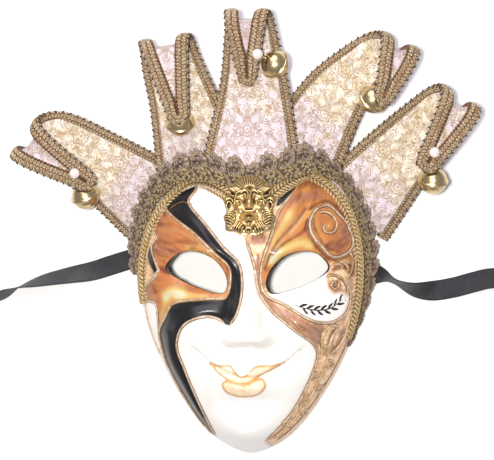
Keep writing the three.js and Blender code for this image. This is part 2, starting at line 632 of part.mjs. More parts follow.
/** The lion's head, set on the forehead at the slope of the face. */
function lionMedallion() {
  const spokes = 2 * (LION_OUTLINE.length - 1);
  const rings = 7;
  const place = (ring, spoke) => {
    const [side, up] = LION_OUTLINE[Math.min(spoke, spokes - spoke)];
    const edge = ring / rings;
    return [edge * side * (2 * spoke > spokes ? -1 : 1), edge * up, edge];
  };
  const halfWidth = MEDALLION.width / 2;
  const halfLength = MEDALLION.length / 2;
  const points = [new THREE.Vector3(0, 0, lionHeight(0, 0, 0))];
  const triangles = [];
  for (let ring = 1; ring <= rings; ring++) {
    for (let spoke = 0; spoke < spokes; spoke++) {
      const [u, v, edge] = place(ring, spoke);
      points.push(new THREE.Vector3(u * halfWidth, v * halfLength, ring === rings ? MEDALLION.base * 0.6 : lionHeight(u, v, edge)));
    }
  }
  const backStart = points.length;
  for (let spoke = 0; spoke < spokes; spoke++) {
    const [u, v] = place(rings, spoke);
    points.push(new THREE.Vector3(u * halfWidth * 0.97, v * halfLength * 0.97, 0));
  }
  points.push(new THREE.Vector3(0, 0, 0));
  for (let j = 0; j < spokes; j++) {
    const k = (j + 1) % spokes;
    triangles.push([0, 1 + k, 1 + j]);
    for (let i = 0; i + 1 < rings; i++) {
      const a = 1 + i * spokes + j;
      const b = 1 + i * spokes + k;
      triangles.push([a, b, b + spokes], [a, b + spokes, a + spokes]);
    }
    const a = 1 + (rings - 1) * spokes;
    triangles.push([a + j, a + k, backStart + k], [a + j, backStart + k, backStart + j]);
    triangles.push([backStart + j, backStart + k, points.length - 1]);
  }
  const { point, normal } = onFace(...MEDALLION.at);
  const turn = new THREE.Quaternion().setFromUnitVectors(new THREE.Vector3(0, 0, 1), normal);
  const seat = point.clone().addScaledVector(normal, MEDALLION.lift + GAP);
  return meshGeometry(points, triangles).applyQuaternion(turn).translate(...seat.toArray());
}

// Ribbons

// exit: where the ribbon leaves the rim; route: its middle line over the floor to the coil, by hand;
// coil: the middle of the ring that the rest of the ribbon is wound into
const RIBBONS = {
  ribbon_left: { exit: [-85, 8.5], coil: [-239.5, -3],
    route: [[-72, 10], [-85, 8.5], [-91, 7.5], [-106, 3], [-121, -1.6], [-138, -4.6], [-155, -7.8], [-166, -10.4],
      [-174.5, -12.8], [-182, -15.8], [-190.5, -20.5], [-201, -26.5], [-212, -33.2]] },
  ribbon_right: { exit: [85, -2], coil: [227, 30],
    route: [[72, 0], [85, -2], [97, -4.5], [109, -9.5], [122, -14.5], [136, -15.5], [151, -13], [165, -9], [178, -6],
      [189, -4.5], [201, -4.5]] },
};

/** The stretch of a ribbon that lies flat on the floor, up to its coil. */
function ribbon({ route, coil }) {
  const curve = new THREE.CatmullRomCurve3(route.map(([x, y]) => new THREE.Vector3(x, y, 0)), false, "centripetal");
  const steps = 14;
  const half = RIBBON_WIDTH / 2;
  const low = 0.15;
  const high = low + RIBBON_THICKNESS;
  const profile = [[half, low], [half, high], [-half, high], [-half, low]];
  const flat = loft(Array.from({ length: steps + 1 }, (_, i) => {
    const middle = curve.getPointAt(i / steps);
    const along = curve.getTangentAt(i / steps);
    return profile.map(([side, z]) => new THREE.Vector3(middle.x + along.y * side, middle.y - along.x * side, z));
  }));
  const room = new THREE.CylinderGeometry(COIL_OUTER + GAP, COIL_OUTER + GAP, 2 * RIBBON_WIDTH, COIL_SIDES)
    .rotateX(Math.PI / 2).translate(coil[0], coil[1], 0);
  return toGeometry(toSolid(flat).subtract(toSolid(room)));
}

/** The outer shape of the loose ring that the end of a ribbon is wound into. */
function ribbonCoil({ coil }) {
  const outline = [[COIL_INNER, 0], [COIL_OUTER, 0], [COIL_OUTER, RIBBON_WIDTH], [COIL_INNER, RIBBON_WIDTH], [COIL_INNER, 0]];
  const geometry = new THREE.LatheGeometry(outline.map(([r, z]) => new THREE.Vector2(r, z)), COIL_SIDES);
  return geometry.rotateX(Math.PI / 2).translate(coil[0], coil[1], 0);
}

// Finishes
const finish = (color, roughness, metalness = 0) => new THREE.MeshStandardMaterial({ color, roughness, metalness });
const LACQUER = finish(0xf2ece2, 0.35);
const BROCADE = finish(0xe8e0d0, 0.7);
const BRAID = finish(0x967d55, 0.6, 0.3);
const GOLD = finish(0xc8a55f, 0.45, 0.5);
const LACE_THREAD = finish(0x5f5841, 0.65, 0.2);
const BRASS = finish(0xc9a24a, 0.3, 1);
const PEARL = finish(0xf4f0e6, 0.2);
const SATIN = finish(0x2d2d32, 0.4);

const crown = new THREE.Group();
const ties = new THREE.Group();

/** Adds a named piece to a group. */
function addPiece(group, name, geometry, material) {
  const mesh = new THREE.Mesh(geometry, material);
  mesh.name = name;
  group.add(mesh);
}

addPiece(crown, "face_shell", faceShell(), LACQUER);
POINTS.forEach((point, i) => {
  const number = i + 1;
  addPiece(crown, `point_${number}`, brocadePoint(point), BROCADE);
  addPiece(crown, `point_braid_${number}`, pointBraid(point), BRAID);
  addPiece(crown, `bell_${number}`, bell(point, HANGINGS[i]), BRASS);
  if (HANGINGS[i].pearl) {
    addPiece(crown, `pearl_${number}`, pearl(point, HANGINGS[i].pearl), PEARL);
  }
});
addPiece(crown, "lace_trim", laceTrim(), LACE_THREAD);
addPiece(crown, "gold_braid", toGeometry(goldBraid(0)), GOLD);
addPiece(crown, "lion_medallion", lionMedallion(), BRASS);
for (const [name, tie] of Object.entries(RIBBONS)) {
  addPiece(ties, name, ribbon(tie), SATIN);
  addPiece(ties, name.replace("ribbon", "ribbon_coil"), ribbonCoil(tie), SATIN);
}

const mask = new THREE.Group();
mask.add(crown, ties);
const middle = new THREE.Box3().setFromObject(crown).getCenter(new THREE.Vector3());
mask.position.set(-middle.x, -middle.y, 0);

export default mask;
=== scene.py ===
"""A Venetian jester mask, dressed over its solids.

The mask lies face up on a pale floor. Its shapes are laid out in millimetres about the middle of
the face, with +Y towards the crown, and each finished mesh is carried to the frame, in metres.
"""

import functools
import logging
import math
from dataclasses import dataclass, field
from enum import IntEnum
from typing import Callable, Sequence

import bmesh
import bpy
import numpy as np
from mathutils import Matrix, Vector

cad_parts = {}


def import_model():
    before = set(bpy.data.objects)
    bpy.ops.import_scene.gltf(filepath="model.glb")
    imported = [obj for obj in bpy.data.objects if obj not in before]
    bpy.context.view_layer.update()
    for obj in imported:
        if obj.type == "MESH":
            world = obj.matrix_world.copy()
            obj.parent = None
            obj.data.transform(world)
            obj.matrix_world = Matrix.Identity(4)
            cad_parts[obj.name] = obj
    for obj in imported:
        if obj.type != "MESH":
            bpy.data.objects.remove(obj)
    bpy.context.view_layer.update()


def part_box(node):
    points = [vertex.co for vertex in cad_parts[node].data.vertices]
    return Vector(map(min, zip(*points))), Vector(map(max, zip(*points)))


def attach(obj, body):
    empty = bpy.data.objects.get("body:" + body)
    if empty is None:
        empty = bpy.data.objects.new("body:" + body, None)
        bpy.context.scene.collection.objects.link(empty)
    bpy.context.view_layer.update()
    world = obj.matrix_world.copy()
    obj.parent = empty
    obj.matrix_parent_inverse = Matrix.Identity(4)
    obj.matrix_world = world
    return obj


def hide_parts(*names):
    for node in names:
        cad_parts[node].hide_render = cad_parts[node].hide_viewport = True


LOG = logging.getLogger("jester_mask")
Points = np.ndarray
Pair = tuple[float, float]
Pairs = Sequence[Sequence[float]]
Colour = tuple[float, float, float]
Mesh = bpy.types.Mesh
Material = bpy.types.Material
Rows = Sequence[tuple[Pairs, float, float]]  # lines, each with its width and its strength or rise
# middles, half-widths and half-lengths of ovals, each with its rise or its turn
Swells = Sequence[tuple[float, float, float, float, float]]

# Curves and distances


def smoothstep(low: float, high: float, value: Points) -> Points:
    """A soft step from 0 at low to 1 at high."""
    t = np.clip((value - low) / (high - low), 0, 1)
    return t * t * (3 - 2 * t)


def smooth_line(points: Pairs, spacing: float, closed: bool = False, ease: float = 0.5) -> Points:
    """Even steps along a smooth curve through a few points.

    Args:
        points: the points, in two or three dimensions.
        spacing: the length of a step.
        closed: whether the curve runs back to its first point.
        ease: 0.5 for a centripetal curve, 0 for a uniform one.

    Returns:
        The points of the curve, without the first one again if it is closed.
    """
    p = np.asarray(points, float)
    p = np.vstack([p[-1], p, p[0], p[1]]) if closed else np.vstack([2 * p[0] - p[1], p, 2 * p[-1] - p[-2]])
    t = np.linspace(0, 1, 16, endpoint=False)[:, None]
    rows = []
    for a, b, c, d in zip(p, p[1:], p[2:], p[3:]):
        ab, bc, cd = (max(np.linalg.norm(v), 1e-6) ** ease for v in (b - a, c - b, d - c))
        start = (b - a) / ab - (c - a) / (ab + bc) + (c - b) / bc
        end = (c - b) / bc - (d - b) / (bc + cd) + (d - c) / cd
        t2, t3 = t * t, t * t * t
        rows.append((2 * t3 - 3 * t2 + 1) * b + (t3 - 2 * t2 + t) * bc * start
                    + (3 * t2 - 2 * t3) * c + (t3 - t2) * bc * end)
    rows.append(p[-2:-1])
    return even_steps(np.vstack(rows), spacing, closed)


def rows_at(at: Points, stations: Points, rows: Points) -> Points:
    """Rows that are known at stations, read off at other places between them."""
    return np.column_stack([np.interp(at, stations, column) for column in rows.T])


def run_of(line: Points) -> Points:
    """The length of a line up to each of its points."""
    return np.concatenate([[0], np.cumsum(np.linalg.norm(np.diff(line, axis=0), axis=1))])


def even_steps(line: Points, spacing: float, closed: bool = False) -> Points:
    """The points at even steps along a line.

    Args:
        line: its points.
        spacing: the length of a step.
        closed: whether it ends where it starts; its last point is then left out.

    Returns:
        The new points.
    """
    run = run_of(line)
    steps = max(2, round(run[-1] / spacing))
    return rows_at(np.linspace(0, run[-1], steps + 1)[:steps if closed else steps + 1], run, line)


def chained(*lines: Pairs, beyond: Pairs = ()) -> Points:
    """Smooth lines end to end, and then straight on through places beyond them."""
    return np.vstack([*(smooth_line(line, 2) for line in lines), *beyond])


def edge_distance(spots: Points, line: Points, closed: bool = False) -> Points:
    """How far each spot lies from a line in the plan.

    Args:
        spots: the places.
        line: the points of the line.
        closed: whether it runs back to its first point.

    Returns:
        The distances.
    """
    ends = np.vstack([line, line[:1]]) if closed else line
    nearest = np.full(len(spots), np.inf)
    for a, b in zip(ends, ends[1:]):
        run = b - a
        t = np.clip(((spots - a) @ run) / max(run @ run, 1e-9), 0, 1)
        gap = spots - a - t[:, None] * run
        nearest = np.minimum(nearest, (gap * gap).sum(axis=1))
    return np.sqrt(nearest)


def inside(spots: Points, outline: Points) -> Points:
    """Whether each spot lies inside a closed outline in the plan.

    Args:
        spots: the places.
        outline: the points of the outline.

    Returns:
        True for each spot that does.
    """
    within = np.zeros(len(spots), bool)
    x, y = spots.T
    for (x0, y0), (x1, y1) in zip(outline, np.roll(outline, -1, axis=0)):
        if y0 != y1:
            within ^= ((y0 > y) != (y1 > y)) & (x < (x1 - x0) * (y - y0) / (y1 - y0) + x0)
    return within


def depth_inside(spots: Points, outline: Points) -> Points:
    """How deep each spot lies inside a closed outline; less than zero outside it."""
    distance = edge_distance(spots, outline, closed=True)
    return np.where(inside(spots, outline), distance, -distance)


def through_stations(stations: Points, values: Points, at: Points) -> Points:
    """A smooth value through values given at stations, straight past the ends.

    Args:
        stations: where it is given.
        values: what it is there.
        at: where it is wanted.

    Returns:
        What it is at those places.
    """
    padded = np.arange(len(stations))
    before, after = np.maximum(padded - 1, 0), np.minimum(padded + 1, len(stations) - 1)
    slopes = (values[after] - values[before]) / (stations[after] - stations[before])
    i = np.clip(np.searchsorted(stations, at, side="right") - 1, 0, len(stations) - 2)
    h = stations[i + 1] - stations[i]
    t = (at - stations[i]) / h
    u = np.clip(t, 0, 1)
    u2, u3 = u * u, u * u * u
    value = ((2 * u3 - 3 * u2 + 1) * values[i] + (u3 - 2 * u2 + u) * h * slopes[i]
             + (3 * u2 - 2 * u3) * values[i + 1] + (u3 - u2) * h * slopes[i + 1])
    return value + np.where(t > 1, (t - 1) * h * slopes[i + 1], 0) + np.where(t < 0, t * h * slopes[i], 0)


def unit(vectors: Points) -> Points:
    """Vectors at length one."""
    return vectors / np.maximum(np.linalg.norm(vectors, axis=-1, keepdims=True), 1e-9)


def strokes_over(spots: Points, rows: Rows, spacing: float = 2) -> Points:
    """How much soft strokes along lines of the plan add up to at each spot."""
    return sum(much * np.exp(-(edge_distance(spots, smooth_line(line, spacing)) / width) ** 2)
               for line, width, much in rows)


def swells_over(side: Points, y: Points, rows: Swells) -> Points:
    """How much rounded swellings add up to at places of the plan."""
    return sum(rise * np.exp(-((side - x0) / wide) ** 2 - ((y - y0) / long) ** 2)
               for x0, y0, wide, long, rise in rows)


# Meshes

SLOTS = 4  # the most materials that a piece has
LIGHT = 1.7  # how bright a white, level surface looks under the lights


def coordinates(mesh: Mesh) -> Points:
    """The places of a mesh's points."""
    flat = np.empty(3 * len(mesh.vertices))
    mesh.vertices.foreach_get("co", flat)
    return flat.reshape(-1, 3)


def set_coordinates(mesh: Mesh, points: Points) -> None:
    """Moves a mesh's points to new places."""
    mesh.vertices.foreach_set("co", np.ascontiguousarray(points, float).ravel())
    mesh.update()


def give_attribute(mesh: Mesh, name: str, values: Points) -> None:
    """Stores a number, or three numbers, at each point of a mesh."""
    kind, key = ("FLOAT", "value") if values.ndim == 1 else ("FLOAT_VECTOR", "vector")
    attribute = mesh.attributes.new(name, kind, "POINT")
    attribute.data.foreach_set(key, np.ascontiguousarray(values, float).ravel())


def mesh_from(bm: bmesh.types.BMesh) -> Mesh:
    """A mesh from a finished bmesh, which is freed."""
    mesh = bpy.data.meshes.new("mesh")
    bm.to_mesh(mesh)
    bm.free()
    return mesh


def grid_mesh(columns: int, rows: int, size: float = 1) -> Mesh:
    """A level square of faces from -size to size."""
    bm = bmesh.new()
    bmesh.ops.create_grid(bm, x_segments=columns, y_segments=rows, size=size)
    return mesh_from(bm)


def spun(profile: Pairs, steps: int, closed: bool = False) -> Mesh:
    """The mesh that a profile sweeps round the upright axis.

    Args:
        profile: distances from the axis, with heights.
        steps: the steps of the turn.
        closed: whether the profile is a ring.

    Returns:
        The mesh, with its faces outwards.
    """
    bm = bmesh.new()
    verts = [bm.verts.new((x, 0, z)) for x, z in profile]
    ends = [*verts[1:], verts[0]] if closed else verts[1:]
    edges = [bm.edges.new(pair) for pair in zip(verts, ends)]
    bmesh.ops.spin(bm, geom=[*verts, *edges], axis=(0, 0, 1), cent=(0, 0, 0), steps=steps, angle=2 * math.pi,
                   use_merge=True)
    bmesh.ops.remove_doubles(bm, verts=bm.verts, dist=1e-4)
    bmesh.ops.recalc_face_normals(bm, faces=bm.faces)
    return mesh_from(bm)


def linked(name: str, data: bpy.types.ID) -> bpy.types.Object:
    """A new object in the scene."""
    thing = bpy.data.objects.new(name, data)
    bpy.context.scene.collection.objects.link(thing)
    return thing


def show(mesh: Mesh, name: str, materials: Sequence[Material]) -> bpy.types.Object:
    """Puts a mesh in the scene as an object at the origin, with smooth faces.

    Args:
        mesh: the mesh.
        name: the object's name.
        materials: its finishes.

    Returns:
        The object.
    """
    mesh.name = name
    slots = np.zeros(len(mesh.polygons), int)
    mesh.polygons.foreach_get("material_index", slots)
    mesh.materials.clear()
    for material in materials:
        mesh.materials.append(material)
    mesh.polygons.foreach_set("material_index", slots)
    mesh.polygons.foreach_set("use_smooth", [True] * len(mesh.polygons))
    return linked(name, mesh)


@dataclass(frozen=True)
class Seat:
    """Where the middle of the face lies in the frame, in millimetres."""

    shift: Pair

    def to_frame(self, points: Points) -> Points:
        """Points of the mask, in metres, in the frame."""
        return (points + np.array([*self.shift, 0.0])) / 1000

    def fit(self, mesh: Mesh, name: str, materials: Sequence[Material], slot: str, *nodes: str) -> bpy.types.Object:
        """Carries a mesh to the frame and shows it there.

        Args:
            mesh: the mesh, in millimetres of the mask.
            name: the piece's name.
            materials: its finishes.
            slot: the finish that it takes from the record; it is not used.
            nodes: the solids that it stands for.

        Returns:
            The piece, which rides on the mask.
        """
        set_coordinates(mesh, self.to_frame(coordinates(mesh)))
        piece = show(mesh, name, materials)
        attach(piece, "root")
        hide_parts(*nodes)
        LOG.info("%s: %d faces for %s", name, len(mesh.polygons), ", ".join(nodes))
        return piece


def with_modifiers(mesh: Mesh, **modifiers: dict) -> Mesh:
    """A mesh as modifiers leave it.

    Args:
        mesh: the mesh, which is given up.
        modifiers: the settings of each, under its type.

    Returns:
        The new mesh.
    """
    while len(mesh.materials) < SLOTS:
        mesh.materials.append(None)
    carrier = linked("carrier", mesh)
    for kind, settings in modifiers.items():
        modifier = carrier.modifiers.new(kind, kind)
        for key, value in settings.items():
            setattr(modifier, key, value)
    bpy.context.view_layer.update()
    made = bpy.data.meshes.new_from_object(carrier.evaluated_get(bpy.context.evaluated_depsgraph_get()))
    bpy.data.objects.remove(carrier)
    bpy.data.meshes.remove(mesh)
    return made


@dataclass(frozen=True)
class Thread:
    """A round thread, cord or bead of gesso along a line; its radius may change along it."""

    line: Points
    radius: float | Points
    material: int = 0
    closed: bool = False


def thread_mesh(threads: Sequence[Thread], sides: int = 6) -> Mesh:
    """The mesh of a bundle of threads.

    Args:
        threads: the threads.
        sides: how many sides each has: 4, 6, 8 or 10.

    Returns:
        One mesh, with closed ends.
    """
    curve = bpy.data.curves.new("threads", "CURVE")
    curve.dimensions = "3D"
    curve.bevel_depth = 1
    curve.bevel_resolution = (sides - 4) // 2
    curve.use_fill_caps = True
    for _ in range(SLOTS):
        curve.materials.append(None)
    for thread in threads:
        spline = curve.splines.new("POLY")
        count = len(thread.line)
        spline.points.add(count - 1)
        spline.points.foreach_set("co", np.column_stack([thread.line, np.ones(count)]).ravel())
        spline.points.foreach_set("radius", np.broadcast_to(thread.radius, count).astype(float))
        spline.use_cyclic_u = thread.closed
        spline.material_index = thread.material
    carrier = bpy.data.objects.new("threads", curve)
    mesh = bpy.data.meshes.new_from_object(carrier)
    bpy.data.objects.remove(carrier)
    return mesh


def joined(*meshes: Mesh) -> Mesh:
    """One mesh from several, which are given up."""
    bm = bmesh.new()
    for mesh in meshes:
        bm.from_mesh(mesh)
        bpy.data.meshes.remove(mesh)
    return mesh_from(bm)


# Shader expressions


def operation(kind: str, turned: bool = False) -> Callable[..., "Value"]:
    """A method of Value that adds a Math node.

    Args:
        kind: what the node works out.
        turned: whether the values go in the other way round, as for a reflected method.

    Returns:
        The method.
    """
    def method(*values: "Value | float") -> "Value":
        """The node's result."""
        inputs = dict(enumerate(values[::-1] if turned else values))
        return values[0].shader.node("ShaderNodeMath", {"operation": kind}, inputs)
    return method


class Value:
    """A number in a material that changes over the surface; arithmetic on it adds Math nodes."""

    def __init__(self, shader: "Shader", socket: bpy.types.NodeSocket) -> None:
        """Wraps an output of the shader."""
        self.shader = shader
        self.socket = socket

    __add__ = __radd__ = operation("ADD")
    __sub__, __rsub__ = operation("SUBTRACT"), operation("SUBTRACT", turned=True)
    __mul__ = __rmul__ = operation("MULTIPLY")
    __truediv__ = operation("DIVIDE")
    __abs__ = operation("ABSOLUTE")
    sine = operation("SINE")  # of radians
    angle = operation("ARCTAN2")  # of a place whose height is this value and whose side is the other
    wrapped = operation("WRAP")  # carried back between a highest and a lowest value, for a pattern that repeats
    lower, higher = operation("MINIMUM"), operation("MAXIMUM")
    nearest = operation("ROUND")

    def step(self, low: float, high: float) -> "Value":
        """A soft step from 0 at low to 1 at high; a low above high steps down."""
        rising = low < high
        ends = {1: min(low, high), 2: max(low, high), 3: 0.0 if rising else 1.0, 4: 1.0 if rising else 0.0}
        return self.shader.node("ShaderNodeMapRange", {"interpolation_type": "SMOOTHSTEP"}, {0: self, **ends})


class Shader:
    """One material, made of nodes."""

    def __init__(self, name: str) -> None:
        """Starts the material with its Principled shader."""
        self.material = bpy.data.materials.new(name)
        self.material.use_nodes = True
        self.tree = self.material.node_tree
        self.surface = next(n for n in self.tree.nodes if n.type == "BSDF_PRINCIPLED")

    def node(self, kind: str, settings: dict | None = None, inputs: dict | None = None,
             output: int | str = 0) -> Value:
        """Adds a node.

        Args:
            kind: the node's type.
            settings: its settings, which are set first.
            inputs: the values or links of its sockets, by place or name.
            output: the output that is wanted.

        Returns:
            That output.
        """
        node = self.tree.nodes.new(kind)
        for key, value in (settings or {}).items():
            setattr(node, key, value)
        for key, value in (inputs or {}).items():
            self.put(value, node.inputs[key])
        return Value(self, node.outputs[output])

    def put(self, value: "Value | float | Sequence[float]", socket: bpy.types.NodeSocket) -> None:
        """Links or sets a socket.

        Args:
            value: what feeds it, or what it is set to.
            socket: the socket.
        """
        if isinstance(value, Value):
            self.tree.links.new(value.socket, socket)
        elif isinstance(value, (int, float)):
            socket.default_value = value
        else:
            socket.default_value = (*value, 1) if len(socket.default_value) == 4 else tuple(value)

    def set(self, **sockets: "Value | float | Sequence[float]") -> "Shader":
        """Sets or links sockets of the Principled shader, named with _ for a space."""
        for key, value in sockets.items():
            self.put(value, self.surface.inputs[key.replace("_", " ")])
        return self

    def mix(self, part: "Value | float", first: "Value | Sequence[float]",
            second: "Value | Sequence[float]") -> Value:
        """A colour between two."""
        return self.node("ShaderNodeMix", {"data_type": "RGBA"}, {0: part, 6: first, 7: second}, 2)

    def place(self) -> Value:
        """The place on the object, in metres."""
        return self.node("ShaderNodeTexCoord", output="Object")

    def attribute(self, name: str, output: str = "Fac") -> Value:
        """A number, or with Vector for output three numbers, that the mesh holds at its points."""
        return self.node("ShaderNodeAttribute", {"attribute_name": name}, output=output)

    def components(self, vector: Value) -> tuple[Value, Value, Value]:
        """The three numbers of a vector."""
        split = self.tree.nodes.new("ShaderNodeSeparateXYZ")
        self.tree.links.new(vector.socket, split.inputs[0])
        return tuple(Value(self, output) for output in split.outputs)

    def length_of(self, vector: Value) -> Value:
        """The length of a vector."""
        return self.node("ShaderNodeVectorMath", {"operation": "LENGTH"}, {0: vector}, "Value")

    def noise(self, scale: float, detail: float = 3, roughness: float = 0.6, at: Value | None = None) -> Value:
        """Cloudy noise about 0.5; the scale is in repeats over a metre, or over the unit of at."""
        inputs = {"Vector": at or self.place(), "Scale": scale, "Detail": detail, "Roughness": roughness}
        return self.node("ShaderNodeTexNoise", {}, inputs)

    def bump(self, height: Value, distance: float, strength: float = 1) -> "Shader":
        """Raises the surface by a height of 0 to 1 over a distance in metres."""
        inputs = {"Strength": strength, "Distance": distance, "Height": height}
        return self.set(Normal=self.node("ShaderNodeBump", {}, inputs))


def rgb(*channels: int) -> Colour:
    """A colour as the eye sees it, from 0 to 255, in linear light."""
    return tuple(c / 255 / 12.92 if c / 255 <= 0.04045 else ((c / 255 + 0.055) / 1.055) ** 2.4 for c in channels)


def seen(*channels: int) -> Colour:
    """The paint of a matt, level surface that looks so under the lights, from 0 to 255."""
    return tuple(channel / LIGHT for channel in rgb(*channels))


# The face


@dataclass
class FaceForm:
    """The outer surface of the face over its plan, as the solid has it."""

    centre: Pair = (0, -20)
    depth: float = 54
    thickness: float = 3
    rim: Pairs = (
        (0, 84), (32, 82), (58, 71), (76, 50), (84, 22), (85, -8), (80, -38), (68.5, -68), (52, -97),
        (36, -118), (20, -131), (0, -138), (-20, -131), (-36, -118), (-52, -97), (-68.5, -68),
        (-80, -38), (-85, -8), (-82.5, 20), (-73, 46), (-56, 66), (-30, 80))
    # middle, half-widths and rise of each swelling, the same on both sides of the nose
    swellings: Swells = (
        (28, 15, 22, 9, 4.5), (34, -3, 18, 12, -8), (11.5, -45, 6, 6.5, 9), (0, -74, 30, 15, 5), (37, -38, 17, 15, 8),
        (0, -112, 19, 15, 11), (0, -78.5, 15, 5.5, 5.5), (0, -92, 18, 5, -2.5))
    nose_root: float = 10
    nose_tip: float = -42
    nose_base: float = -53
    nose_widths: Pair = (5.5, 12)
    nose_rises: Pair = (3, 22)
    mouth_line: float = -73
    smile: float = 19.5
    mouth_half_width: float = 38
    lip_rise: float = 3.6
    lip_crease: float = 3.2
    eye: Pairs = (
        (57, 2), (53, 10), (44, 14.5), (33, 14), (23.5, 9.5), (16.5, 1), (14, -8), (17.5, -14.2), (30, -12),
        (45, -6.5))

    def __post_init__(self) -> None:
        """Works out how far the rim lies in every direction."""
        offsets = smooth_line(self.rim, 1, closed=True, ease=0) - self.centre
        angles = np.arctan2(offsets[:, 1], offsets[:, 0])
        order = np.argsort(angles)
        self._angles = angles[order]
        self._radii = np.hypot(*offsets.T)[order]

    def rim_radius(self, angle: Points) -> Points:
        """The distance from the middle to the rim in a direction."""
        return np.interp(angle, self._angles, self._radii, period=2 * math.pi)

    def outwardness(self, x: Points, y: Points) -> Points:
        """How far out a place lies: 0 at the middle, 1 at the rim, more beyond it."""
        dx, dy = x - self.centre[0], y - self.centre[1]
        return np.hypot(dx, dy) / self.rim_radius(np.arctan2(dy, dx))

    def eye_outline(self, sign: int) -> Points:
        """The outline of an eye hole: 1 for the right one, -1 for the left one."""
        return smooth_line(self.eye, 0.5, closed=True, ease=0) * (sign, 1)

    def height(self, x: Points, y: Points) -> Points:
        """The height of the surface over places of the plan.

        Args:
            x: how far right they lie.
            y: how far towards the crown they lie.

        Returns:
            The heights.
        """
        rho = np.minimum(self.outwardness(x, y), 1)
        side = np.abs(x)
        relief = swells_over(side, y, self.swellings)
        along = 1 - smoothstep(self.nose_tip, self.nose_root, y)
        narrow, wide = self.nose_widths
        width = narrow + (wide - narrow) * along
        ends = smoothstep(self.nose_base, self.nose_tip - 1, y) * (1 - smoothstep(4, 14, y))
        root, tip = self.nose_rises
        relief += (root + tip * along ** 1.15) * ends * np.exp(-(side / width) ** 2.2)
        off_mouth = y - self.mouth_line - self.smile * (np.minimum(side, 42) / self.mouth_half_width) ** 1.7
        relief += self.lip_rise * np.exp(-((off_mouth - 4.5) / 4) ** 2) * (1 - smoothstep(26, 40, side))
        relief -= self.lip_crease * np.exp(-(off_mouth / 1.5) ** 2) * (1 - smoothstep(34, 42, side))
        dome = self.depth * np.maximum(1 - rho ** 3, 0) ** 0.6
        return dome + relief * (1 - smoothstep(0.82, 1, rho))

    def on_surface(self, plan: Points, limit: float = 0.985) -> tuple[Points, Points]:
        """Places of the plan, carried up to the surface.

        Args:
            plan: the places.
            limit: how far out they may lie; those further out are drawn in.

        Returns:
            The places, and the directions out of the surface there.
        """
        offset = plan - self.centre
        out = self.outwardness(*plan.T)
        plan = self.centre + offset * np.minimum(1, limit / np.maximum(out, 1e-9))[:, None]
        x, y = plan.T
        step = 0.4
        slope_x = (self.height(x + step, y) - self.height(x - step, y)) / (2 * step)
        slope_y = (self.height(x, y + step) - self.height(x, y - step)) / (2 * step)
        normals = unit(np.column_stack([-slope_x, -slope_y, np.ones_like(x)]))
        return np.column_stack([x, y, self.height(x, y)]), normals


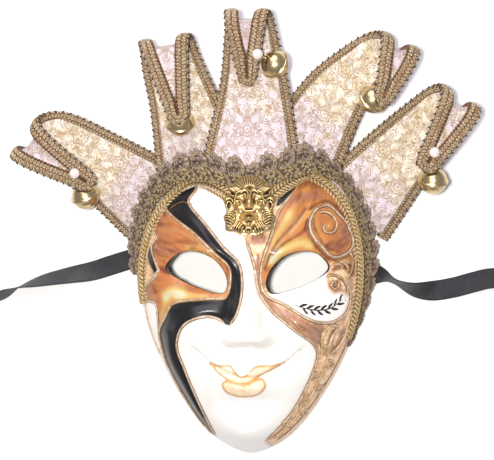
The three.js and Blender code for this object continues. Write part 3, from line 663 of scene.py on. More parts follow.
@dataclass
class PaintPlan:
    """The lines of the painted pattern, in the plan of the face."""

    band_right: Pairs = (
        (-36.5, 62.5), (-39, 57), (-43, 51), (-41.6, 46.7), (-31, 35), (-16, 17), (-5.5, 6.2), (-2.8, -11),
        (-5.6, -26.5), (-11, -35))
    band_inner: Pairs = (
        (-14, -35), (-20, -31.5), (-28, -30), (-39, -33), (-46, -39), (-50.3, -53), (-45, -70), (-37, -91),
        (-28, -113), (-25, -122))
    band_left: Pairs = (
        (-64.5, 52), (-61.5, 45.5), (-52, 37.4), (-38, 27.5), (-23, 14), (-13.2, 4.7), (-11.5, -1.5), (-12.4, -14))
    under_eye: Pairs = ((-14.5, -18), (-36, -19), (-52.7, -22.5), (-59.3, -33), (-64.8, -44))
    left_rim: Pairs = ((-64.8, -44), (-63, -58), (-60, -70), (-49.3, -91), (-37, -110.7), (-27, -122))
    left_edge: Pairs = ((-76.5, -26), (-75, -36), (-71.5, -48), (-66, -62))
    temple: Pairs = (
        (-61, 48), (-69, 37), (-71.4, 31.8), (-66.5, 24), (-70.5, 17), (-65, 1), (-67, -4), (-75.9, -13.2),
        (-75, -21), (-67, -23), (-65, -35), (-65, -43.5))
    brow: Pairs = ((31.6, 55.8), (21.9, 42.2), (15.8, 22), (9.8, 4), (10.6, -11), (14.5, -16.5))
    nose_side: Pairs = (
        (-1, 23), (4.9, 5.5), (8.4, -12.8), (16.6, -25.3), (33, -39), (44.8, -48), (48.8, -56), (45.7, -70.6),
        (31, -100), (12, -122))
    patch_low: Pairs = (
        (14.5, -16.5), (26, -22), (43, -32), (52, -35), (60, -35), (69, -29.5), (72.5, -18), (70, -9), (66, -5))
    cheek_edge: Pairs = ((73, -28), (73, -39.5), (71, -51), (62, -71), (47.6, -94.6), (33, -112.5), (19, -124.5))
    vine: Pairs = ((60, -44), (58, -56), (53.5, -69), (48, -82), (41, -95), (32, -107), (23, -116), (15, -121.5))
    leaf: Pairs = ((56.5, -61), (52, -52), (52.5, -43), (58, -37.5), (63, -39), (60, -45), (57, -52), (56.5, -60))
    leaf_back: Pairs = ((57, -61), (63, -55), (69, -46), (72, -33))
    curl: Pairs = ((54.5, -3.5), (59, -2), (65.5, -4.5), (69.5, -10.5), (70, -15.5))
    lips: Sequence[Pairs] = (
        ((-28, -62.5), (-20, -63.5), (-11.5, -63.2), (-4, -71), (1, -68), (6, -63.8), (19, -62.5), (29.6, -59.5),
         (38, -53.5), (27, -62), (16, -67.8), (8, -71.5), (1, -75.6), (-8, -76), (-17.3, -72), (-24, -66.5)),
        ((-17.8, -77), (-14.5, -74.2), (-7.3, -75), (0, -76), (6.2, -72.8), (11, -72.6), (13.4, -77), (10.4, -82.5),
         (3.3, -86), (-6.4, -86.3), (-14.8, -83.4)))
    volute: Pairs = (
        (48, 44), (51.5, 46), (56.5, 47), (64, 40.5), (69.5, 34.5), (72.5, 28), (74.5, 22), (73, 16.5), (68.5, 12.5),
        (60.5, 10.5), (56, 13), (51.5, 18), (47.5, 22.5), (45, 26.5), (43.5, 31), (43.5, 35.5), (45.5, 40.5))
    volute_curl: Pairs = (
        (49.4, 41.2), (53, 42.3), (57.4, 40.6), (60.8, 36.8), (61.6, 32.2), (59.8, 28.6), (56, 27.4), (53.2, 29),
        (52.6, 32), (54, 34))
    volute_bead: Pairs = ((55.4, 31.6), (56.2, 31.9))
    sliver: Pairs = (
        (-67, 21), (-69, 17.5), (-68, 11), (-66, 4.5), (-65.5, 1), (-67.5, -2.5), (-70.5, 1.5), (-73, 6),
        (-74.5, 10.5), (-73, 16.5), (-69.5, 21))
    wedge: Pairs = ((24.5, 59), (34, 61), (28, 53), (23, 47.5), (20, 46), (21, 51.5))
    ornaments: Sequence[Pairs] = (
        ((59, 2), (60.5, 5), (64, 5.5), (66.5, 3.5), (65, 1.5)), ((66.5, 7), (69.5, 4.5), (71, 1), (68, 0.5)),
        ((72.5, 14), (74, 6.5), (72.5, -0.5), (69.5, -4.5)), ((76.5, 30), (77.5, 20), (76.5, 8), (74.5, -6)))
    bulb_end: Pairs = ((-57, 44.5), (-54, 47), (-50, 48.5), (-45, 49), (-39.5, 47.6))
    # fine brown lines: on the cheek, at the nostrils and the corners of the mouth, and a painted shadow under the
    # volute
    marks: Sequence[tuple[Pairs, float]] = (
        (((58, 9), (63.5, 8), (68.5, 10), (73, 13.5)), 0.9),
        (((63.5, -39), (59, -42.5), (57, -47), (56.7, -57)), 0.7),
        (((57, -58), (61.5, -54.5), (67.5, -48)), 0.75), (((55.2, -66), (54.5, -70)), 0.9),
        (((48.5, -79), (50, -82.5), (54, -82.5), (56, -79.5)), 0.8), (((42.8, -82.6), (40.3, -84.2)), 0.8),
        (((43.5, -86.5), (40.5, -90.5)), 0.75), (((35, -92), (36, -95.5), (36, -102.5), (38.5, -106.5)), 0.6),
        (((38.5, -102), (42, -102), (45, -101)), 0.6), (((31.5, -107), (30, -104), (28, -107)), 0.6),
        (((18.5, -119.5), (22, -114.5), (25, -112.5)), 0.8), (((27.5, -113), (31.5, -114.5), (34.5, -111.5)), 0.8),
        (((53, -73.6), (51.3, -75.8)), 0.8), (((30, -101), (34, -98)), 0.8),
        (((-3, -62.8), (-2.2, -63.2)), 1.1), (((34.8, -56), (36.5, -54.5), (38, -52.6)), 0.7))
    flecks: Pairs = ((-11.6, -49), (6.6, -46.6), (-40, -54), (24.5, -46.5), (-38, -56), (31, -92), (-26, -57))

    def band(self) -> Points:
        """The outline of the black band."""
        return chained(self.band_right, self.band_inner, self.left_rim[::-1], self.under_eye[::-1],
                       self.band_left[::-1])

    def fields(self) -> dict[str, list[Points]]:
        """The outlines of each painted field; those that are open at the rim close through places beyond it."""
        loops = {"volute": [self.volute], "lips": self.lips, "black": [self.sliver, self.wedge]}
        fields = {name: [smooth_line(line, 1, closed=True) for line in lines] for name, lines in loops.items()}
        fields["black"].append(self.band())
        fields["left"] = [chained(self.temple, self.under_eye[::-1], self.band_left[::-1])]
        fields["right"] = [
            chained(self.nose_side, beyond=((20, -140), (90, -100), (110, 0), (90, 90), (0, 90), (-1, 40))),
            chained(self.temple[:9], beyond=((-77, -26), (-95, -20), (-100, 40), (-66, 62)))]
        fields["orange"] = [chained(self.brow[:5], beyond=(
            (14, -8), (40, 0), (56, 6), (66, 10), (75, 6), (82, 12), (82, 60), (40, 80)))]
        # the white patch under the right eye leaves out the brown scroll in its corner
        fields["patch"] = [chained(self.patch_low[:7], beyond=(
            (66, -14), (60, -14.5), (56.5, -11), (55.5, -6), (56, 0), (40, 0), (16, -6)))]
        return fields

    def spiral(self, middle: Sequence[float], radii: Pair, turns: float, start: float,
               squeeze: float = 0.86) -> Points:
        """A spiral scroll that winds inwards clockwise.

        Args:
            middle: its middle.
            radii: its first and last radius.
            turns: how often it goes round.
            start: the angle at which it starts.
            squeeze: its width over its length.

        Returns:
            Its points.
        """
        t = np.linspace(0, 1, max(10, round(30 * abs(turns))))
        radius = radii[0] + (radii[1] - radii[0]) * t ** 0.8
        angle = start - 2 * math.pi * turns * t
        return np.column_stack([middle[0] + squeeze * radius * np.cos(angle), middle[1] + radius * np.sin(angle)])

    def lines(self) -> list["FaceLine"]:
        """Every raised or painted line of the face."""
        volute = smooth_line(self.volute, 1, closed=True)
        stem = smooth_line(self.vine, 1)
        # the vine's curls lie by turns on its two sides, each a little smaller
        curls = [self.spiral((0, 0), (4.3 - 0.25 * i, 1), 1.1, 2.4, 1) * (side, 1) + stem[13 + 10 * i]
                 + (3.4 * side, -side) for i, side in enumerate((-1, 1, -1, 1, -1, 1, -1))]
        # lines, the length of their steps, their radius, their coat and the coat of their flanks
        cordons = (
            ((self.band_right, self.band_inner, self.band_left, [*self.under_eye, *self.left_rim[1:]], self.temple,
              [*self.brow, *self.patch_low[1:]], self.nose_side), 1, 0.9, Coat.GESSO, Coat.GLAZE),
            ((np.vstack([volute, volute[:6]]),), 0, 1, Coat.GESSO, Coat.UMBER),
            ((self.volute_curl,), 0.7, 0.95, Coat.HONEY, Coat.UMBER),
            ((self.cheek_edge, self.sliver[4:]), 1, 0.68, Coat.GESSO, Coat.GLAZE),
            ((self.leaf, self.leaf_back, self.vine), 1, 1.2, Coat.HONEY, Coat.GLAZE),
            ((self.curl, self.spiral((60.5, -8.5), (4.6, 0.8), 1.3, 1.2)), 0.7, 0.8, Coat.HONEY, Coat.UMBER),
            (curls, 0.6, 1, Coat.HONEY, Coat.GLAZE))
        rows = []
        raised, spread, sunk = 0.25, 0.85, -0.58
        for lines, spacing, radius, coat, flank in cordons:
            for line in lines:
                smooth = smooth_line(line, spacing) if spacing else line
                rows += [FaceLine(smooth, radius, raised, coat), FaceLine(smooth, radius + spread, sunk, flank)]
        # lines without flanks, the length of their steps, their radius, their height and their coat
        flecks = [(at, np.array(at) + (0.8, 0.3)) for at in self.flecks]
        plain = (((self.volute_bead,), 0.15, 1.7, 0.3, Coat.GESSO), ((self.bulb_end,), 0.8, 0.4, 0.15, Coat.GLAZE),
                 ((self.left_edge,), 1, 0.85, 0.1, Coat.HONEY), (self.ornaments, 0.8, 1, 0, Coat.HONEY),
                 (self.ornaments, 0.8, 1.9, -0.55, Coat.GLAZE),
                 *(((line,), 0.5, radius, -0.6, Coat.GLAZE) for line, radius in self.marks),
                 (flecks, 0.4, 0.8, -0.6, Coat.GLAZE))
        return rows + [FaceLine(smooth_line(line, spacing), radius, height, coat)
                       for lines, spacing, radius, height, coat in plain for line in lines]


class Coat(IntEnum):
    """The coats of the lines on the face, by their place among the piece's materials."""

    GESSO = 0
    GLAZE = 1
    UMBER = 2
    HONEY = 3


@dataclass(frozen=True)
class FaceLine:
    """A line along the face: its plan, its radius and its middle's height as a part of that."""

    line: Points
    radius: float
    height: float
    coat: Coat


@dataclass
class Face:
    """The hollow papier-mache face: the painted shell, its raised and painted lines and a sprig."""

    seat: Seat
    form: FaceForm = field(default_factory=FaceForm)
    plan: PaintPlan = field(default_factory=PaintPlan)
    quads: int = 180
    notch: Pair = (8.5, 2.0)
    notches: Pairs = ((-85, 8), (85, -2))
    # painted highlights, mostly along the raised folds: each line, its width and its strength
    glow: Rows = (
        (((15.5, 9), (18, 17), (22, 27), (29, 40)), 3.8, 0.75), (((28, 39), (36, 50)), 3, 0.35),
        (((18, 8.5), (21.5, 13), (28, 17.5), (36.5, 21), (43, 19.5)), 4, 0.95),
        (((30, 29), (38, 38), (43, 43)), 3, 0.5), (((46.5, 38), (48, 30), (54, 20)), 2.6, 0.4),
        (((-42, 17.5), (-33, 16.5), (-22, 10)), 2.8, 0.5), (((-60, 30), (-46, 29), (-34, 22)), 3, 0.3),
        (((-58, -17), (-53, -14), (-47, -14.5)), 4.4, 1.15),
        (((-50, -17), (-40, -16.5), (-28, -17)), 2.6, 0.7), (((-58, -20), (-61, -28), (-63, -36)), 2.8, 0.6))
    # brown brush strokes and painted shade in the pressed-in folds, round the volute and along the braid: each line,
    # its width and its strength
    umber: Rows = (
        (((12, 3), (18, 17), (26, 27), (33.5, 35), (40, 44)), 1.5, 0.75),
        (((18, 13), (25.5, 20.5), (32.5, 24.5), (39, 29), (42, 35)), 1.3, 0.7),
        (((24, 56), (38, 62), (54, 62), (68, 54), (77, 38)), 5, 0.6),
        (((43.5, 44.5), (49.5, 48.5), (56, 50), (64, 44), (71, 36)), 1.6, 0.85),
        (((42, 36), (42, 29), (46, 22), (52, 14.5), (59, 9), (68, 11)), 1.9, 0.95),
        (((46, 38), (46.5, 32), (50, 24), (56, 17), (64, 14.5)), 1.4, 0.7),
        (((76, 36), (78.5, 23.5), (77, 13.5), (73, 2)), 3.4, 0.8), (((60, 2), (68, 4), (74, 0)), 2.8, 0.7),
        (((20, 30), (27, 44), (31, 50)), 2.4, 0.35), (((-66, 33), (-57, 34), (-46, 30), (-34, 25)), 1.6, 0.45),
        (((-66, 22), (-55.5, 20), (-46, 22), (-36, 20)), 2.4, 0.55), (((-66, 3), (-61, 1.5), (-56, -1)), 1.9, 0.8),
        (((-60, 8), (-58, 3)), 2, 0.5), (((-68, -12), (-66, -15)), 2, 0.6),
        (((-14.5, 9), (-13.5, 0.5), (-14, -8)), 1.8, 0.6), (((-40, 17), (-28, 15), (-18, 9)), 0.9, 0.5))
    rose: Rows = (
        (((56, 18), (63, 18), (69, 24), (68, 31)), 4, 0.9), (((76, 8), (72, -6), (74, -22)), 3, 0.7),
        (((33, 51), (42, 54), (50, 54)), 4.6, 0.85), (((60, 48), (68, 42)), 3, 0.6),
        (((-66, 16), (-58, 13), (-52, 16)), 4, 0.7), (((-68, 30), (-64, 39), (-58, 44)), 3, 0.8),
        (((-74, -12), (-68, -5)), 3.2, 0.5), (((-71, 18), (-75, 4), (-78, -10)), 1.6, 0.6),
        (((14, -21), (22, -27), (32, -34), (41, -40), (49, -47)), 3, 1.3),
        (((28, -27), (40, -34), (50, -39)), 2.4, 0.9), (((59.5, -58), (64, -51), (69, -42)), 2.6, 0.8),
        (((70, -26), (67, -34)), 2.4, 0.8), (((60, -9), (63, -11)), 3.6, 1.2),
        (((47, -38), (51, -39), (50, -45)), 2.6, 1.2), (((60, -42), (58, -48), (57.5, -57)), 2.2, 1.1),
        (((5, 22), (10, 23)), 3.2, 1.2), (((7.6, 12), (8, 2), (10, -12), (16, -21)), 1.5, 1),
        (((15, 48), (12, 36), (8, 26)), 4, 0.9), (((66, -42), (62, -60), (52, -80)), 1.1, 0.4),
        (((52, -64), (46, -80), (36, -98), (22, -116)), 1, 0.4))
    # lines modelled in the shell, raised or pressed in: each line, its width and its rise
    folds: Rows = (
        (((18, 18.5), (26, 28), (33.5, 36.5), (41, 46.5)), 2, -1),
        (((25.5, 20), (32.5, 24), (40, 27.5), (40.5, 30.5)), 2, -0.9),
        (((15, 14), (22, 30), (30, 42), (36, 50)), 3.6, 1.4), (((14, 4), (24, 15), (40, 21), (50, 14)), 3, 1.5),
        (((50, 36), (56, 38), (60, 32), (56, 24)), 5, 1.2), (((-64.5, 21), (-55.5, 17.5), (-47.5, 19)), 2, -0.8),
        (((-63.5, 1.5), (-57, 0), (-49.5, -5), (-45.5, -10)), 2.2, -0.9), (((-60, 33), (-44, 26), (-28, 17)), 4, 1.2),
        (((-52, 14), (-38, 18), (-24, 12)), 2.6, 1), (((-66, -18), (-52, -14), (-34, -15), (-20, -16)), 3.4, 1.3),
        (((-57, -44), (-56, -62), (-46, -84), (-34, -108)), 2.6, 1.3), (((62, -46), (60, -52), (58, -58)), 2.4, -1.2),
        (((30, -30), (40, -38), (48, -46)), 2.2, 1))
    # the swollen part of the black band starts at this place and runs in this direction
    bulb: tuple[Pair, Pair] = ((-51.5, 47.5), (0.55, -0.83))
    # places where the black line round an eye is broader: the place, how far it reaches and how broad
    eye_accents: Sequence[tuple[Pair, float, float]] = (
        ((-57, 2), 6, 1.2), ((-50, -7), 9, 0.4), ((-36, -12), 9, 0.15), ((14, -7), 7, 0.9), ((17, 3), 7, 0.6),
        ((30, 13), 10, 0.2))

    def build(self) -> None:
        """Makes the shell, its lines and the sprig."""
        self.shell()
        self.line_piece()
        self.sprig()

    def shell(self) -> None:
        """The shell, from a grid that is drawn out to the rim, cut at the eyes and thickened."""
        bm = bmesh.new()
        bmesh.ops.create_grid(bm, x_segments=self.quads, y_segments=self.quads, size=1)
        for vertex in bm.verts:
            vertex.co.xy = self.disc_place(vertex.co.x, vertex.co.y)
        self.cut_eyes(bm)
        mesh = mesh_from(bm)
        x, y, _ = coordinates(mesh).T
        spots = np.column_stack([x, y])
        self.store_paint(mesh, spots)
        set_coordinates(mesh, np.column_stack([x, y, self.form.height(x, y) + self.relief(spots)]))
        mesh = with_modifiers(mesh, SOLIDIFY={"thickness": self.form.thickness, "offset": -1, "material_offset": 1,
                                              "material_offset_rim": 2})
        points = coordinates(mesh)
        points[:, 2] = np.maximum(points[:, 2], 0)
        half_width, rise = self.notch
        for at in self.notches:
            near = (np.abs(points[:, 1] - at[1]) < half_width) & (np.abs(points[:, 0] - at[0]) < 15)
            points[near, 2] = np.maximum(points[near, 2], rise)
        set_coordinates(mesh, points)
        coats = [FaceLacquer().material(), RAW_PAPER.material(), EDGE_PAINT.material()]
        self.seat.fit(mesh, "face_of_papier_mache", coats, "painted_papier_mache", "face_shell")

    def disc_place(self, a: float, b: float) -> Pair:
        """Draws a point of a square from -1 to 1 out to the rim.

        Args:
            a: how far right it lies.
            b: how far up it lies.

        Returns:
            Its place in the plan; places lie closer towards the rim.
        """
        size = max(abs(a), abs(b))
        if size < 1e-9:
            return self.form.centre
        if abs(a) >= abs(b):
            angle = math.pi / 4 * b / a + (math.pi if a < 0 else 0)
        else:
            angle = math.pi / 2 - math.pi / 4 * a / b + (math.pi if b < 0 else 0)
        share = size if size < 0.5 else 0.5 + 0.5 * math.sin(math.pi * (size - 0.5))
        radius = share * float(self.form.rim_radius(math.atan2(math.sin(angle), math.cos(angle))))
        return self.form.centre[0] + radius * math.cos(angle), self.form.centre[1] + radius * math.sin(angle)

    def cut_eyes(self, bm: bmesh.types.BMesh) -> None:
        """Takes out the faces in the eye holes and draws the edges left onto the eyes' outlines.

        Args:
            bm: the drawn-out grid.
        """
        for sign in (-1, 1):
            outline = self.form.eye_outline(sign)
            middles = np.array([face.calc_center_median()[:2] for face in bm.faces])
            bm.faces.ensure_lookup_table()
            gone = [bm.faces[i] for i in np.flatnonzero(inside(middles, outline))]
            bmesh.ops.delete(bm, geom=gone, context="FACES")
            reach = np.abs(outline - outline.mean(axis=0)).max() + 5
            for vertex in bm.verts:
                near = (Vector(outline.mean(axis=0)) - vertex.co.xy).length < reach
                if near and vertex.is_boundary:
                    gaps = outline - np.array(vertex.co.xy)
                    vertex.co.xy = outline[(gaps * gaps).sum(axis=1).argmin()]

    def relief(self, spots: Points) -> Points:
        """The low modelling under the paint: folds, and the band's rounded sides.

        Args:
            spots: places of the plan.

        Returns:
            How much each is raised.
        """
        rise = strokes_over(spots, self.folds)
        start, along = (np.array(pair) for pair in self.bulb)
        swollen = 0.2 + 0.8 * smoothstep(-1.5, 1.5, (spots - start) @ along)
        rise += 1.5 * swollen * smoothstep(0, 4.5, depth_inside(spots, self.plan.band()))
        return rise * (1 - smoothstep(0.85, 1, self.form.outwardness(*spots.T)))

    def store_paint(self, mesh: Mesh, spots: Points) -> None:
        """Stores how deep each point lies in each painted field, and how strong each tone, painted highlight and
        painted shade is there.

        Args:
            mesh: the shell's mesh.
            spots: the places of its points in the plan.
        """
        for name, outlines in self.plan.fields().items():
            give_attribute(mesh, name, np.max([depth_inside(spots, outline) for outline in outlines], axis=0))
        off_eye = np.min([edge_distance(spots, self.form.eye_outline(sign), closed=True) for sign in (-1, 1)], axis=0)
        broad = 0.25 + sum(extra * np.exp(-((spots - at) ** 2).sum(axis=1) / reach ** 2)
                           for at, reach, extra in self.eye_accents)
        give_attribute(mesh, "eye_line", broad - off_eye)
        for name in ("glow", "umber", "rose"):
            give_attribute(mesh, name, strokes_over(spots, getattr(self, name)))
        # the brush went out from the inner corner of each eye
        side = np.sign(spots[:, 0])
        away = spots - np.column_stack([np.where(side < 0, -6, 8), np.where(side < 0, -4, -12)])
        turn = np.arctan2(away[:, 1], away[:, 0] * side)
        give_attribute(mesh, "brushing", np.column_stack([turn * 20, np.hypot(*away.T) / 14, 5 * side]))

    def line_piece(self) -> None:
        """The gesso cordons with the glaze beside them, and the painted lines, thin at their ends."""
        threads = []
        for line in self.plan.lines():
            points, normals = self.form.on_surface(line.line)
            points = points + normals * (line.height * line.radius + self.relief(points[:, :2]))[:, None]
            count = np.arange(len(points))
            ends = np.minimum(count, count[::-1]) + (1 if line.coat is Coat.UMBER else 0)
            taper = 0.35 + 0.65 * smoothstep(0, min(4, len(points) / 3), ends)
            threads.append(Thread(points, line.radius * taper, line.coat))
        coats = [coat.material() for coat in (GESSO, GLAZE, UMBER, HONEY)]
        self.seat.fit(thread_mesh(threads), "gesso_cordons", coats, "painted_papier_mache", "face_shell")

    def sprig(self) -> None:
        """A sprig brushed on the white patch: a bent stem with leaves by turns on both sides and three berries."""
        stem = smooth_line(((33, -22), (41, -24.6), (50, -26), (58, -25), (66.5, -19.5)), 0.5)
        threads = [Thread(stem, 0.5)]
        for i, station in enumerate(range(7, len(stem) - 3, 5)):
            along = unit(stem[station + 1] - stem[station - 1])
            out = unit(along + (-1) ** i * np.array([-along[1], along[0]]) * 0.9)
            threads.append(Thread(smooth_line((stem[station], stem[station] + 2.6 * out,
                                               stem[station] + 4.8 * out + 1.0 * along), 0.4), 1.15))
        threads += [Thread(smooth_line((at, np.array(at) + (0.5, 0.2)), 0.2), 0.75)
                    for at in ((67.6, -18.6), (68.6, -20.4), (66.6, -17))]
        strokes = []
        for thread in threads:
            points, normals = self.form.on_surface(thread.line)
            swell = thread.radius * (0.3 + 0.7 * np.sin(np.linspace(0.08, 1, len(points)) * math.pi) ** 0.7)
            strokes.append(Thread(points - normals * (0.45 * swell)[:, None], swell))
        self.seat.fit(thread_mesh(strokes, 8), "painted_sprig", [EDGE_PAINT.material()], "painted_papier_mache",
                      "face_shell")


# The points of the crown


@dataclass(frozen=True)
class CrownPoint:
    """One point of the crown: a padded, brocade-covered flap that is folded over at its end.

    The fold's outermost middle and the direction it points in place it. Its edges are given to the
    left and right of its middle line at the root, halfway, where the roll starts, at the roll's
    crest, where it ends, and at the tip. Its bell and the start of the bell's thread are given by
    distance out, distance across and height, and its pearl by the first two. The bell's ring lies
    in the direction of axis, its degrees in the plan and its degrees upwards.
    """

    number: int
    fold: Pair
    lean: float
    heights: tuple[float, float, float]
    root: float
    tip: float
    left: tuple[float, ...]
    right: tuple[float, ...]
    bell: tuple[float, float, float]
    thread: tuple[float, float, float]
    axis: Pair
    pearl: Pair | None = None
    roll_radius: float = 12
    halfway: float = 45
    braid_width: float = 9.5

    def side_view(self) -> tuple[Points, Points, Points]:
        """The middle of the point's thickness seen from the side.

        Returns:
            The length so far, [distance out, height], and the upward direction at each step.
        """
        root_z, roll_z, tip_z = self.heights
        r = self.roll_radius
        turn = np.linspace(-math.pi / 2, math.pi / 2, 40)
        arc = np.column_stack([-r + r * np.cos(turn), roll_z + r + r * np.sin(turn)])
        line = even_steps(np.vstack([[-self.root, root_z], arc, [-self.tip, tip_z]]), 0.5)
        reach = 8
        padded = np.vstack([2 * line[0] - line[reach:0:-1], line, 2 * line[-1] - line[-2:-reach - 2:-1]])
        kernel = np.hanning(2 * reach + 1) / np.hanning(2 * reach + 1).sum()
        line = np.column_stack([np.convolve(column, kernel, "valid") for column in padded.T])
        along = unit(np.gradient(line, axis=0))
        return run_of(line), line, np.column_stack([-along[:, 1], along[:, 0]])

    def spot(self, out: Points, across: Points, z: Points) -> Points:
        """Places of the mask for places on the point.

        Args:
            out: distances out from the fold.
            across: distances to the left.
            z: heights.

        Returns:
            The places.
        """
        lean = math.radians(self.lean)
        return np.stack([self.fold[0] + out * math.cos(lean) - across * math.sin(lean),
                         self.fold[1] + out * math.sin(lean) + across * math.cos(lean), z], axis=-1)


class PointSurface:
    """Places on a crown point, by length along it, distance across it and height over its middle."""

    def __init__(self, point: CrownPoint) -> None:
        """Measures the point's side view and its edges."""
        self.point = point
        self.lengths, self.line, self.up = point.side_view()
        self.total = float(self.lengths[-1])
        start = math.hypot(point.root - point.roll_radius, point.heights[1] - point.heights[0])
        roll = math.pi * point.roll_radius
        halfway = start * (1 - (point.halfway - point.roll_radius) / (point.root - point.roll_radius))
        self.stations = np.array([0, halfway, start, start + roll / 2, start + roll, self.total])
        self.crest = start + roll / 2

    def edges(self, s: Points) -> tuple[Points, Points]:
        """Where the left and the right edge lie across, at lengths."""
        sides = (self.point.left, self.point.right)
        return tuple(through_stations(self.stations, np.array(side), s) for side in sides)

    def place(self, s: Points, across: Points, height: Points | float) -> Points:
        """Places of the mask for places on the point.

        Args:
            s: lengths along it.
            across: distances to the left.
            height: heights over its middle.

        Returns:
            The places.
        """
        # past the ends, the side view runs straight on
        over = s - np.clip(s, 0, self.total)
        out, z, up_out, up_z = (np.interp(s, self.lengths, column) for column in (*self.line.T, *self.up.T))
        return self.point.spot(out + over * up_z + height * up_out, across, z - over * up_out + height * up_z)

    def leaves_face(self, across: Points, form: FaceForm) -> Points:
        """Where lines along the point come out of the face.

        Args:
            across: how far to the left each lies.
            form: the face.

        Returns:
            The length at which each does.
        """
        steps = np.arange(0, self.crest, 1.0)
        s = np.repeat(steps, len(across))
        spots = self.place(s, np.tile(across, len(steps)), 0)
        rho = form.outwardness(*spots.T[:2])
        buried = (rho < 1) & (spots[:, 2] < form.height(*spots.T[:2]))
        buried = buried.reshape(len(steps), len(across))
        last = np.where(buried.any(axis=0), len(steps) - 1 - buried[::-1].argmax(axis=0), 0)
        return steps[last]

    def brocade_end(self) -> float:
        """The length at which the two braids meet, short of the tip."""
        s = np.arange(self.crest, self.total, 0.5)
        left, right = self.edges(s)
        narrow = left - right < 2 * self.point.braid_width + 2
        return float(s[narrow.argmax()]) if narrow.any() else self.total


CROWN = (
    CrownPoint(1, (-156.6, 94.2), 144.2, (5, 38, 51), 92, 56, (20.5, 12, 14, 16, 16, 6),
               (-47, -39, -32, -19.5, -13, -8), (-56, 9.3, 40), (-52, 2, 51), (105, 27), (-45.6, -1.4)),
    CrownPoint(2, (-57.7, 163), 98, (18, 36, 52), 93, 57.5, (24, 20.5, 21, 18.8, 15, 5),
               (-45, -31.6, -22, -18.8, -16, -9.5), (-57.8, -0.9, 37.8), (-56, -1, 52), (90, 48)),
    CrownPoint(3, (0.9, 177.5), 89, (30, 50, 57), 103.5, 46.5, (34, 20, 16.8, 15.6, 14, 5.5),
               (-38.5, -28.5, -20.3, -15.6, -12.5, -6.3), (-33.5, -19, 54), (-33.5, -7, 60), (150, 50),
               (-30.4, -7.7)),
    CrownPoint(4, (103.5, 159.1), 63, (18, 36, 55), 95, 43, (56, 46, 29, 15.2, 8, -3.5),
               (-5.5, -1.5, -9, -15.2, -18.2, -15), (-41.3, -2.8, 41), (-41.5, -7, 55), (45, 52)),
    CrownPoint(5, (144.5, 120.2), 57.5, (5, 38, 51), 103, 52, (53, 36, 24.5, 16.3, 10, 1.5),
               (-17, -15, -14, -16.3, -18.2, -14.5), (-55.6, -17.2, 40), (-49, -10, 51), (90, 27), (-42, -5.5)),
)


@dataclass
class Panel:
    """The brocade middle of a crown point, puffed up between its braids."""

    seat: Seat
    form: FaceForm
    point: CrownPoint
    brocade: Material
    thickness: float = 3.2
    puff: float = 1.3
    tuck: float = 1.6
    columns: int = 44
    rows: int = 130

    def build(self) -> None:
        """Lays a grid along the point, puffs it up and gives it its thickness."""
        mesh = grid_mesh(self.columns, self.rows)
        grid = (coordinates(mesh)[:, :2] + 1) / 2
        surface = PointSurface(self.point)
        width = self.point.braid_width - self.tuck
        end = surface.brocade_end() + 2

        def across(s: Points, share: Points) -> Points:
            """The place across at a length, for a share of the way from the right edge to the left."""
            left, right = surface.edges(s)
            low, high = right + width, left - width
            return low + (high - low) * share

        shares = np.linspace(0, 1, self.columns + 1)
        root = across(np.zeros_like(shares), shares)
        starts = np.interp(grid[:, 0], shares, surface.leaves_face(root, self.form) - 3)
        s = np.maximum(starts, 0) + (end - np.maximum(starts, 0)) * grid[:, 1]
        offset = across(s, grid[:, 0])
        number = self.point.number
        crown = (1 - (2 * grid[:, 0] - 1) ** 4) * smoothstep(0, 12, end - s)
        wander = np.sin(s / 17 + number) * np.sin(offset / 11 + 2 * number)
        rolled = np.exp(-((s - surface.crest) / 13) ** 2)
        height = self.thickness / 2 + (self.puff + 1.5 * rolled) * crown + 0.35 * wander * crown
        # painted shade: a lilac tint past the crest, where the roll turns under, and near the lace; the middle point
        # is tinted all over
        shade_share = 0.8 * smoothstep(surface.crest - 6, surface.crest + 6, s) + 0.8 * smoothstep(52, 22, s - starts) \
            + (0.6 if number == 3 else 0.1)
        # each panel is cut from another stretch of the cloth
        give_attribute(mesh, "cloth", np.column_stack([offset, s + 13 * number, shade_share]))
        set_coordinates(mesh, surface.place(s, offset, height))
        mesh = with_modifiers(mesh, SOLIDIFY={"thickness": self.thickness + 1.2 * self.puff, "offset": -1})
        self.seat.fit(mesh, f"brocade_panel_{number}", [self.brocade], "brocade", f"point_{number}")


@dataclass
class Trim:
    """A trim that repeats along its length: a bundle of threads over one repeat.

    Its own x runs along it, y across it and z up from it, in millimetres.
    """

    repeat: float
    threads: list[Thread] = field(default_factory=list)
    beads: list[Mesh] = field(default_factory=list)
    sides: int = 4

    def add(self, line: Pairs, radius: float, material: int = 0) -> None:
        """Adds a thread through a few points of the repeat."""
        self.threads.append(Thread(np.asarray(line, float), radius, material))

    def strip(self, length: float) -> Mesh:
        """A straight strip of whole repeats, drawn out a little to fit.

        Args:
            length: how long it is to be.

        Returns:
            Its mesh.
        """
        count = max(1, round(length / self.repeat))
        mesh = joined(thread_mesh(self.threads, self.sides), *self.beads)
        self.beads = []
        mesh = with_modifiers(mesh, ARRAY={
            "count": count, "use_relative_offset": False, "use_constant_offset": True,
            "constant_offset_displace": (self.repeat, 0, 0)})
        set_coordinates(mesh, coordinates(mesh) * (length / (count * self.repeat), 1, 1))
        return mesh


class Tone(IntEnum):
    """The tones of a trim's threads, by their place among its materials."""

    PALE = 0
    MIDDLE = 1
    DARK = 2


